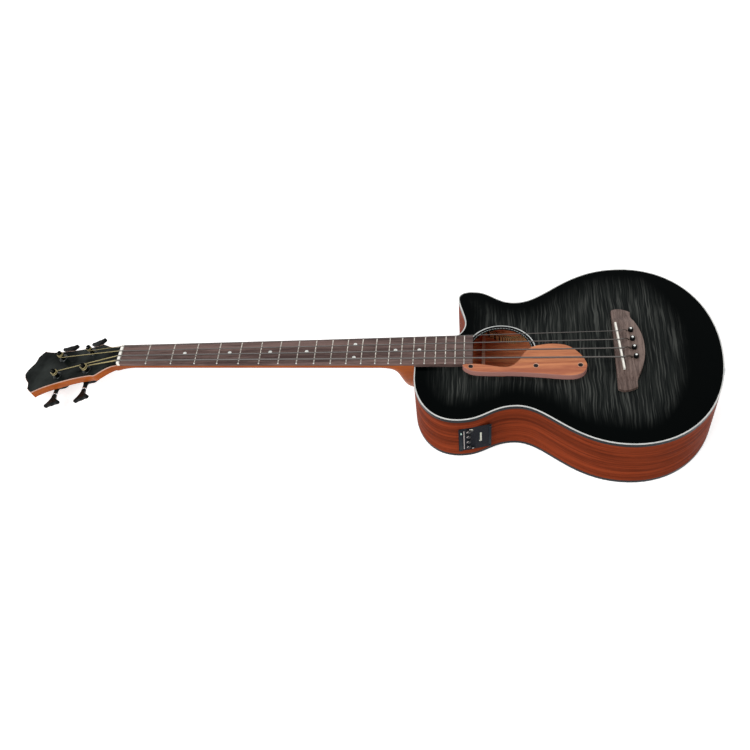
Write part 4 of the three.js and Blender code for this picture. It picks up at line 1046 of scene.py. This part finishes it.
def scoop(y):
    """The height of the bridge: full in the middle, low on the wings, with a hollow between."""
    share = min(max((abs(y) - 48) / 20, 0), 1)
    return BRIDGE_TOP - 4.9 * (0.5 - 0.5 * math.cos(math.pi * share))


def pin_place(string, height):
    y = saddle_y(string)
    return shift(saddle_x(y) + PIN_BEHIND, y + PIN_ASIDE, height)


def bridge_pieces():
    floor = BRIDGE_TOP - 6.5
    blank = bmesh.new()
    blank.faces.new([blank.verts.new((x, y, BRIDGE_TOP)) for x, y in bridge_outline()])
    for y in [side * place for side in (-1, 1) for place in range(48, 69, 2)]:
        sliced(blank, (0, y, 0), (0, 1, 0))
    for vert in blank.verts:
        vert.co.z = scoop(vert.co.y)
    thickened(blank, 0)
    eased(blank, lambda p: p.z > scoop(p.y) - 0.1, 0.9, 3, 60)
    slant = shift(SCALE_LENGTH) @ roll("Z", math.atan(SADDLE_SLANT))
    rooms = [placed(bar(1.7, 47.2, floor, BRIDGE_TOP + 5), slant)]
    for string in STRINGS:
        sink = [(0, -21.8), (2.95, -21.8), (2.95, -0.6), (3.9, 0.4), (3.9, 5), (0, 5)]
        rooms.append(placed(turned(sink, 24), pin_place(string, BRIDGE_TOP)))
        rooms.append(groove(string, -10))
    bridge = carved(blank, *rooms)
    piece("bridge_body", bridge, ON_TOP, [BRIDGE_WOOD], ["bridge"], crease=40)

    bone = bar(1.5, 47, floor + 2, BRIDGE_TOP + SADDLE_RISE)
    eased(bone, lambda p: p.z > BRIDGE_TOP + 5, 1.1, 4)
    piece("bone_saddle", placed(bone, slant), ON_TOP, [BONE], ["saddle"])
    profile = [
        (0, -24), (1.6, -24), (2, -23.5), (2.45, -0.6), (3.3, 0.1), (4.1, 0.6), (4.1, 3), (3.8, 3.5),
        (3.5, 3.6), (3.5, 3.9), (3.9, 4.2), (3.8, 4.9), (3, 5.8), (2.1, 6.2), (0, 6.2),
    ]
    for number, string in enumerate(STRINGS, 1):
        spot = pin_place(string, BRIDGE_TOP + GLUE)
        dot = turned([(0, 5.5), (2.3, 5.5), (2.3, 6), (1.6, 6.3), (0, 6.4)], 20)
        peg = carved(placed(turned(profile, 28), spot), groove(string, -10))
        whole = inlaid([peg], [placed(dot, spot)])
        name = f"bridge_peg_{number}"
        piece(name, whole, ON_TOP, [PIN_BLACK, PEARL], [f"bridge_pin_{number}"])


# Thumb rest
def cross_slot(radius, low, high):
    return [placed(bar(radius, 0.35, low, high), roll("Z", turn)) for turn in (0, math.pi / 2)]


def thumb_rest_pieces():
    def spot(along, across):
        return (REST_FROM + along * REST_LENGTH, -57.5 + across * REST_WIDTH)

    shares = [
        (0, 0.36), (0.09, 0.4), (0.2, 0.36), (0.33, 0.29), (0.4, 0.33), (0.46, 0.5), (0.5, 0.72),
        (0.56, 0.9), (0.66, 0.99), (0.77, 1), (0.86, 0.93), (0.94, 0.72), (0.99, 0.46), (1, 0.28),
        (0.97, 0.1), (0.9, 0.01), (0.8, 0.01), (0.62, 0.07), (0.42, 0.12), (0.2, 0.13), (0.07, 0.18),
    ]
    path = smooth_run([spot(*share) for share in shares], 5, closed=True)
    top = GLUE + 10.5
    places = [spot(*share) for share in ((0.068, 0.315), (0.594, 0.315), (0.948, 0.32))]
    sinks = []
    heads = []
    rims = []
    for x, y in places:
        at = shift(x, y, top)
        sink = [(0, -5.8), (1.8, -5.8), (1.8, -2.7), (4.6, -0.3), (4.6, 4), (0, 4)]
        sinks.append(placed(turned(sink, 28), at))
        head = [(0, -3), (1.5, -3), (1.5, -2.4), (3.75, -0.9), (3.6, -0.5), (2.2, -0.1), (0, 0)]
        heads.append(placed(carved(turned(head, 24), *cross_slot(1.6, -1, 1)), at))
        rim = [(2.8, -1.9), (4.5, -0.4), (4.55, 0.1), (4.2, 0.25), (3.75, -0.5), (2.8, -1.6), (2.8, -1.9)]
        rims.append(placed(turned(rim, 28), at))
    rest = carved(board_of(path[::-1], GLUE, top), *sinks)
    bmesh.ops.remove_doubles(rest, verts=rest.verts, dist=0.01)
    eased(rest, lambda p: p.z > top - 0.1 and all(math.dist((p.x, p.y), at) > 5.2 for at in places), 5, 8)
    piece("thumb_rest_slab", rest, ON_TOP, [REST_WOOD], ["thumb_rest"], crease=50)
    screws = inlaid(heads, rims)
    piece("thumb_rest_screws", screws, ON_TOP, [SCREW_BLACK, COPPER], ["thumb_rest"])


# Tuners
def tuner_pieces(string, number):
    place = ON_HEAD @ at_post(string)
    out = string.side
    under = -HEAD_THICKNESS - GLUE
    shaft_z = under - 5
    across = shift(-KEY_BEHIND, 0, shaft_z) @ roll("X", -out * math.pi / 2)
    nose = [(9.4 * math.sin(a), -9.4 * math.cos(a)) for a in (math.pi * i / 16 for i in range(17))]
    case = board_of(nose + [(-18, 9.4), (-18, -9.4)], under - 10, under)
    eased(case, lambda p: p.z < under - 1, 2.6, 4)
    arm = [(0, 0), (4.4, 0), (4.4, 11), (3.6, 12.4), (3.6, 20), (3.2, 20.6), (2.6, 20.7), (2.6, 8), (0, 8)]
    boss = placed(turned(arm, 28), across)
    sleeve = turned([
        (0, under - 1), (5.4, under - 1), (5.4, 0.1), (8, 0.1), (8, 1), (7.5, 1.6), (6.2, 2), (5, 2.2),
        (4.1, 2.2), (3.9, 1.4), (0, 1.4),
    ], 36)
    screws = []
    for x in (-15, 3.8):
        head = turned([(0, -1), (1.1, -0.9), (1.9, -0.2), (1.9, 0.6), (0, 0.6)], 20)
        screws.append(placed(head, shift(x, -out * 5.6, under - 10)))
    body = inlaid([case, boss], screws, [sleeve])
    finishes = [TUNER_BLACK, DULL_STEEL, BUSHING_METAL]
    piece(f"tuner_case_{number}", body, place, finishes, [f"tuner_housing_{number}"])

    wheel = [(0, -3), (7.6, -3), (8, -2.6), (8, 2.6), (7.6, 3), (3.2, 3)]
    stem = [(3.6, -CROWN), (4.3, -1.1), (4.3, -0.4), (3.9, 0), (0, 0)]
    profile = [(radius, shaft_z + height) for radius, height in wheel]
    profile += [(3.2, 2.65), (3.5, 2.65), (3.5, POST_TOP - 2)]
    profile += [(radius, POST_TOP + height) for radius, height in stem]
    slot = bar(6, 1.4, POST_TOP - 5, POST_TOP + 2)
    spindle = carved(turned(profile, 32), slot, rod(1.9, POST_TOP - 8, POST_TOP + 2))
    name = f"string_post_{number}"
    piece(name, spindle, place, [TUNER_BLACK], [f"tuner_post_{number}"], f"post_{number}")

    shaft = [(0, -7), (3.2, -7), (3.6, -6.6), (3.6, 6.6), (3.2, 7), (2.4, 7), (2.4, 21.2), (0, 21.2)]
    collar = turned([(0, 20.9), (3, 20.9), (3.4, 21.2), (3.4, 22.5), (3, 22.9), (0, 22.9)], 28)
    shares = [
        (0.2, 0), (0.22, 0.2), (0.36, 0.42), (0.68, 0.64), (0.98, 0.78), (1, 0.92), (0.86, 1),
        (0.45, 0.96), (0, 0.99),
    ]
    half = [(x * KEY_HALF, y * KEY_LENGTH) for x, y in smooth_run(shares, 4)]
    tail = half + [(-x, y) for x, y in half[-2::-1]]
    blade = eased(board_of(tail[::-1], -2.95, 2.95), None, 1.5, 4, 50)
    lean = roll("Y", math.radians(string.key_turn)) @ roll("Z", 0 if out > 0 else math.pi)
    placed(blade, shift(-KEY_BEHIND, out * KEY_FROM, shaft_z) @ lean)
    key = inlaid([placed(turned(shaft, 24), across), blade], [placed(collar, across)])
    piece(
        f"tuner_button_{number}", key, place, [TUNER_BLACK, BRIGHT_METAL],
        [f"tuner_key_{number}"], f"key_{number}",
    )


# Preamp in the bass side
def side_strip(low, high, start, stop):
    """A stretch of the bass side between two distances from the body, as a closed plan."""
    first, last = (NUT_X + (NECK_TO_BODY + d) * math.cos(TILT) for d in (start, stop))
    run = []
    for (x0, y0), (x1, y1) in zip(OUTLINE[1:TAIL_INDEX], OUTLINE[2 : TAIL_INDEX + 1]):
        quarters = [x0 + (x1 - x0) * i / 4 for i in range(4)]
        stops = [x for x in quarters if first < x < last] + [x for x in (first, last) if x0 <= x < x1]
        run += [(x, y0 + (y1 - y0) * (x - x0) / (x1 - x0)) for x in sorted(stops)]
    return drawn_in(run, -high, closed=False) + drawn_in(run, -low, closed=False)[::-1]


def facing(spot, outward):
    """A frame at a spot of the side whose z axis points out of it and whose y axis points up."""
    axis = Vector(outward).normalized()
    side = Vector((0, 0, 1)).cross(axis).normalized()
    up = axis.cross(side)
    turn = Matrix((side, up, axis)).transposed().to_4x4()
    return Matrix.Translation(spot) @ turn


def panel_frame():
    """Where the flat panel starts, with x along it, y up and z out of it, and its length."""
    proud = ((PANEL_FROM, 1.9), (PANEL_TO, 5.6))
    (x0, y0), (x1, y1) = (side_strip(out, out + 0.1, start, start + 0.5)[-1] for start, out in proud)
    place = facing((x0, y0, 0), (y1 - y0, x0 - x1, 0))
    return place, math.hypot(x1 - x0, y1 - y0)


def preamp_pieces():
    place, length = panel_frame()
    front = [place @ Vector((along, 0, 0)) for along in (0, length)]
    wood = side_strip(0.1, 0.2, PANEL_FROM, PANEL_TO)
    plate = board_of([(p.x, p.y) for p in front] + wood[len(wood) // 2 :], 15.5, 73.5)
    for vert in plate.verts:
        if vert.co.z > 73:
            vert.co.z += 1.3 * min((place.inverted() @ vert.co).z, 0)
    eased(plate, None, 0.5, 3, 60)
    piece("panel_plate", plate, ROW, [PANEL_PLASTIC], ["preamp_panel"])
    for name, left, right, foot, head, proud, material in (
        ("panel_rail", 1.4, 5.8, 15.5, 72, 0.9, RAIL_PLASTIC),
        ("panel_line", 8, 9.2, 19, 67, 0.25, WHITE_MARK_AND_PAINTED_HIGHLIGHT),
        ("panel_end", length - 4.4, length - 0.8, 15, 72.5, 0.5, RAIL_PLASTIC),
    ):
        strip = slab(left, right, foot, head, -0.4, proud)
        eased(strip, lambda p: p.z > 0 and material is RAIL_PLASTIC, 0.4, 3, 60)
        piece(name, strip, place, [material], ["preamp_panel"])

    joints = {joint["name"]: joint for joint in frame["joints"]}
    ticks = []
    for number in range(1, 5):
        joint = joints[f"knob_{number}_turn"]
        seat = facing(Vector(joint["pos_m"]) * 1000, joint["axis"])
        profile = [
            (0, -4), (1.5, -4), (1.5, 2.05), (3.7, 2.05), (3.7, 2.9), (3.4, 3.2), (3.2, 4.6), (2.8, 5),
            (0, 5.05),
        ]
        spots = [roll("Z", math.pi * turn / 6) @ shift(3.45) for turn in range(12)]
        grips = [placed(rod(0.3, 3.1, 4.7, 8), spot) for spot in spots]
        cap = carved(turned(profile, 32), *grips)
        mark = slab(-0.3, 0.3, 0.4, 2.7, 4.8, 5.15)
        # A pale crescent on the rim of each knob cap: a painted highlight.
        section = [(2.5, 4.7), (3.25, 4.7), (3.1, 5.1), (2.6, 5.12)]
        painted_glint = open_ring(section, math.radians(100), math.radians(90), 12)
        piece(
            f"panel_dial_{number}", inlaid([cap], [painted_glint], [mark]), seat,
            [KNOB_PLASTIC, WHITE_MARK_AND_PAINTED_HIGHLIGHT, RAIL_PLASTIC], [f"preamp_knob_{number}"],
            f"knob_{number}",
        )
        middle = place.inverted() @ (seat @ Vector((0, 0, 1.5)))
        for angle in (-2.2, -1.1, 0, 1.1, 2.2):
            spot = shift(middle.x + 5.6 * math.sin(angle), middle.y + 5.6 * math.cos(angle))
            ticks.append(placed(rod(0.32, -0.2, 0.15, 8), spot))
    piece("panel_ticks", together(*ticks), place, [TICK_GREY], ["preamp_panel"])

    surround = eased(slab(32, 37.6, 34.4, 58, -0.4, 0.4), None, 0.25, 2, 60)
    pane = eased(slab(33.7, 36.5, 35.6, 56.8, 0, 0.7), None, 0.25, 2, 60)
    foot = slab(32.2, 36.6, 34.8, 37.2, 0, 0.7)
    both = inlaid([surround], [pane, foot])
    piece("panel_window", both, place, [RAIL_PLASTIC, PALE_GLASS_AND_PAINTED_HIGHLIGHT], ["preamp_display"])

    low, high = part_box("preamp_button")
    press = facing((low + high) / 2 * 1000, -Vector(joints["button_press"]["axis"]))
    cap = turned([(0, -0.95), (2.2, -0.95), (2.2, 0.55), (1.9, 0.9), (1.1, 0.98), (0, 0.9)], 28)
    lens = turned([(0, 0.8), (1.3, 0.8), (1.3, 1), (0, 1.02)], 20)
    cap = inlaid([cap], [lens])
    finishes = [KNOB_PLASTIC, WHITE_MARK_AND_PAINTED_HIGHLIGHT]
    piece("panel_button", cap, press, finishes, ["preamp_button"], "button")

    screws = []
    for x in (3.6, length - 2.6):
        for y in (18, 69.5):
            screw = turned([(0, 0), (1.5, 0), (1.5, 0.9), (1.1, 1.25), (0, 1.35)], 20)
            screws.append(placed(carved(screw, *cross_slot(1, 0.9, 2)), shift(x, y)))
    piece("panel_screws", together(*screws), place, [SCREW_BLACK], ["preamp_panel"])
    lamp = turned([(0, 0.4), (0.8, 0.4), (0.8, 1.2), (0.5, 1.45), (0, 1.5)], 16)
    placed(lamp, shift(4, 62.5) @ Matrix.Diagonal((1.3, 3.6, 1, 1)))
    piece("panel_lamp", lamp, place, [LAMP_GREEN], ["preamp_panel"])
    boss = turned([(0, -0.2), (4.2, -0.2), (4.2, 0.7), (3.7, 1.2), (0, 1.25)], 32)
    # A pale arc on the dark boss: a painted highlight.
    section = [(2.5, 1), (4.1, 0.9), (3.9, 1.35), (2.7, 1.5)]
    painted_glint = open_ring(section, math.radians(30), math.radians(120), 16)
    whole = inlaid([boss], [painted_glint])
    spot = place @ shift(19.4, 66)
    piece("panel_boss", whole, spot, [KNOB_PLASTIC, PALE_GLASS_AND_PAINTED_HIGHLIGHT], ["preamp_panel"])


# Output jack and strap button
def fittings():
    place = shift(-NECK_END, 0, TAIL_DEPTH / 2) @ roll("Y", math.pi / 2)
    profile = [
        (0, -31), (5.6, -31), (6, -30.6), (6, 0.3), (9.2, 0.3), (9.5, 0.6), (9.5, 1.5), (9.1, 1.8),
        (6.2, 1.8), (5.4, 2.6), (5, 4.2), (5.2, 6.4), (6.6, 8.2), (8.2, 9), (8.5, 9.6), (8.5, 11.2),
        (8, 11.8), (4, 11.8), (3.3, 11.2), (3.3, -18), (0, -18),
    ]
    piece("tail_socket", turned(profile, 40), place, [BRIGHT_METAL], ["end_pin_jack"])
    x = NECK_TO_BODY - 18
    share = 44 / (HEEL_FLAT + 4)
    y = board_half(x) * math.sqrt(1 - share**2) - GLUE
    place = ON_TOP @ shift(x, y, -44) @ roll("X", -math.pi / 2)
    profile = [
        (0, -14), (2.4, -13), (2.4, 0), (4, 0.3), (4.1, 0.8), (3.5, 2), (3.2, 5), (4, 7.4), (6, 8.8),
        (6.9, 9.2), (7, 10.2), (6.6, 10.8), (3, 11), (1.4, 10.4), (0, 10.4),
    ]
    piece("strap_stud", turned(profile, 36), place, [BRIGHT_METAL], ["strap_button"])


def inside_pieces():
    """The pieces inside the box keep their CAD shape and get their wood or metal."""
    dress = {
        BRACE_WOOD: ["x_brace_bass", "x_brace_treble", "upper_brace", "tone_bar"],
        PALE_SPRUCE: ["back_brace_1", "back_brace_2", "back_brace_3"],
        SPRUCE_LONG: ["back_strip", "neck_block", "tail_block"],
        KERFED: ["top_lining", "back_lining"],
        INSIDE_WOOD: ["bridge_plate"],
        DULL_STEEL: ["truss_rod", "pickup_strip"],
        PANEL_PLASTIC: ["preamp_box"],
        BATTERY_CASE: ["battery"],
    }
    for material, names in dress.items():
        for name in names:
            data = frame["nodes"][name].data
            data.materials.clear()
            data.materials.append(material)


# Light, floor and camera
def seen_rays(tree):
    """One for what is seen straight, in a reflection or through glass, else zero."""
    rays = node(tree, "ShaderNodeLightPath").outputs
    indirect = maths("MAXIMUM", rays["Is Glossy Ray"], rays["Is Transmission Ray"])
    return maths("MAXIMUM", rays["Is Camera Ray"], indirect)


def studio():
    scene = bpy.context.scene
    scene.view_settings.view_transform = "Standard"
    world = bpy.data.worlds.new("studio")
    scene.world = world
    world.use_nodes = True
    tree = world.node_tree
    strength = total(product(seen_rays(tree), 0.45), 0.55)
    feed(tree.nodes["Background"].inputs, {"Color": (1, 1, 1, 1), "Strength": strength})

    lamps = (
        ("key_light", (-1.4, -1.4, 2.0), 1.6, 36),
        ("fill_light", (1.4, -0.9, 1.5), 1.4, 2),
        ("back_light", (0.2, 1.8, 2.0), 1.8, 12),
    )
    for name, spot, size, power in lamps:
        data = bpy.data.lights.new(name, "AREA")
        data.shape = "DISK"
        data.size = size
        data.energy = power
        lamp = linked(name, data)
        lamp.location = spot
        lamp.rotation_euler = (Vector((-0.2, 0, 0.05)) - Vector(spot)).to_track_quat("-Z", "Y").to_euler()

    bm = bmesh.new()
    bmesh.ops.create_grid(bm, x_segments=1, y_segments=1, size=30)
    floor = held("floor", bm)
    floor.location = (0, 0, -0.0005)
    material = bpy.data.materials.new("floor_paper")
    material.use_nodes = True
    tree = material.node_tree
    values = {
        "Base Color": paint(240, 240, 240), "Roughness": 0.9, "Specular IOR Level": 0.0,
        "Emission Color": (1, 1, 1, 1), "Emission Strength": product(seen_rays(tree), 0.6),
    }
    feed(tree.nodes["Principled BSDF"].inputs, values)
    floor.data.materials.append(material)


def camera():
    data = bpy.data.cameras.new("camera")
    data.sensor_width = 36
    data.lens = 46.44
    data.clip_start = 0.01
    data.clip_end = 100
    taker = linked("camera", data)
    right = Vector((0.99319787, 0.07704695, -0.08730269))
    up = Vector((-0.00538377, 0.77935793, 0.62655585))
    back = Vector((0.11631426, -0.62182391, 0.77447144))
    turn = Matrix((right, up, back)).transposed().to_4x4()
    taker.matrix_world = Matrix.Translation((-0.12125, -1.00186, 1.28526)) @ turn
    bpy.context.scene.camera = taker


camera()
studio()
body_pieces()
neck_pieces()
fretboard_pieces()
string_pieces()
nut_piece()
bridge_pieces()
thumb_rest_pieces()
for number, string in enumerate(STRINGS, 1):
    tuner_pieces(string, number)
preamp_pieces()
fittings()
inside_pieces()
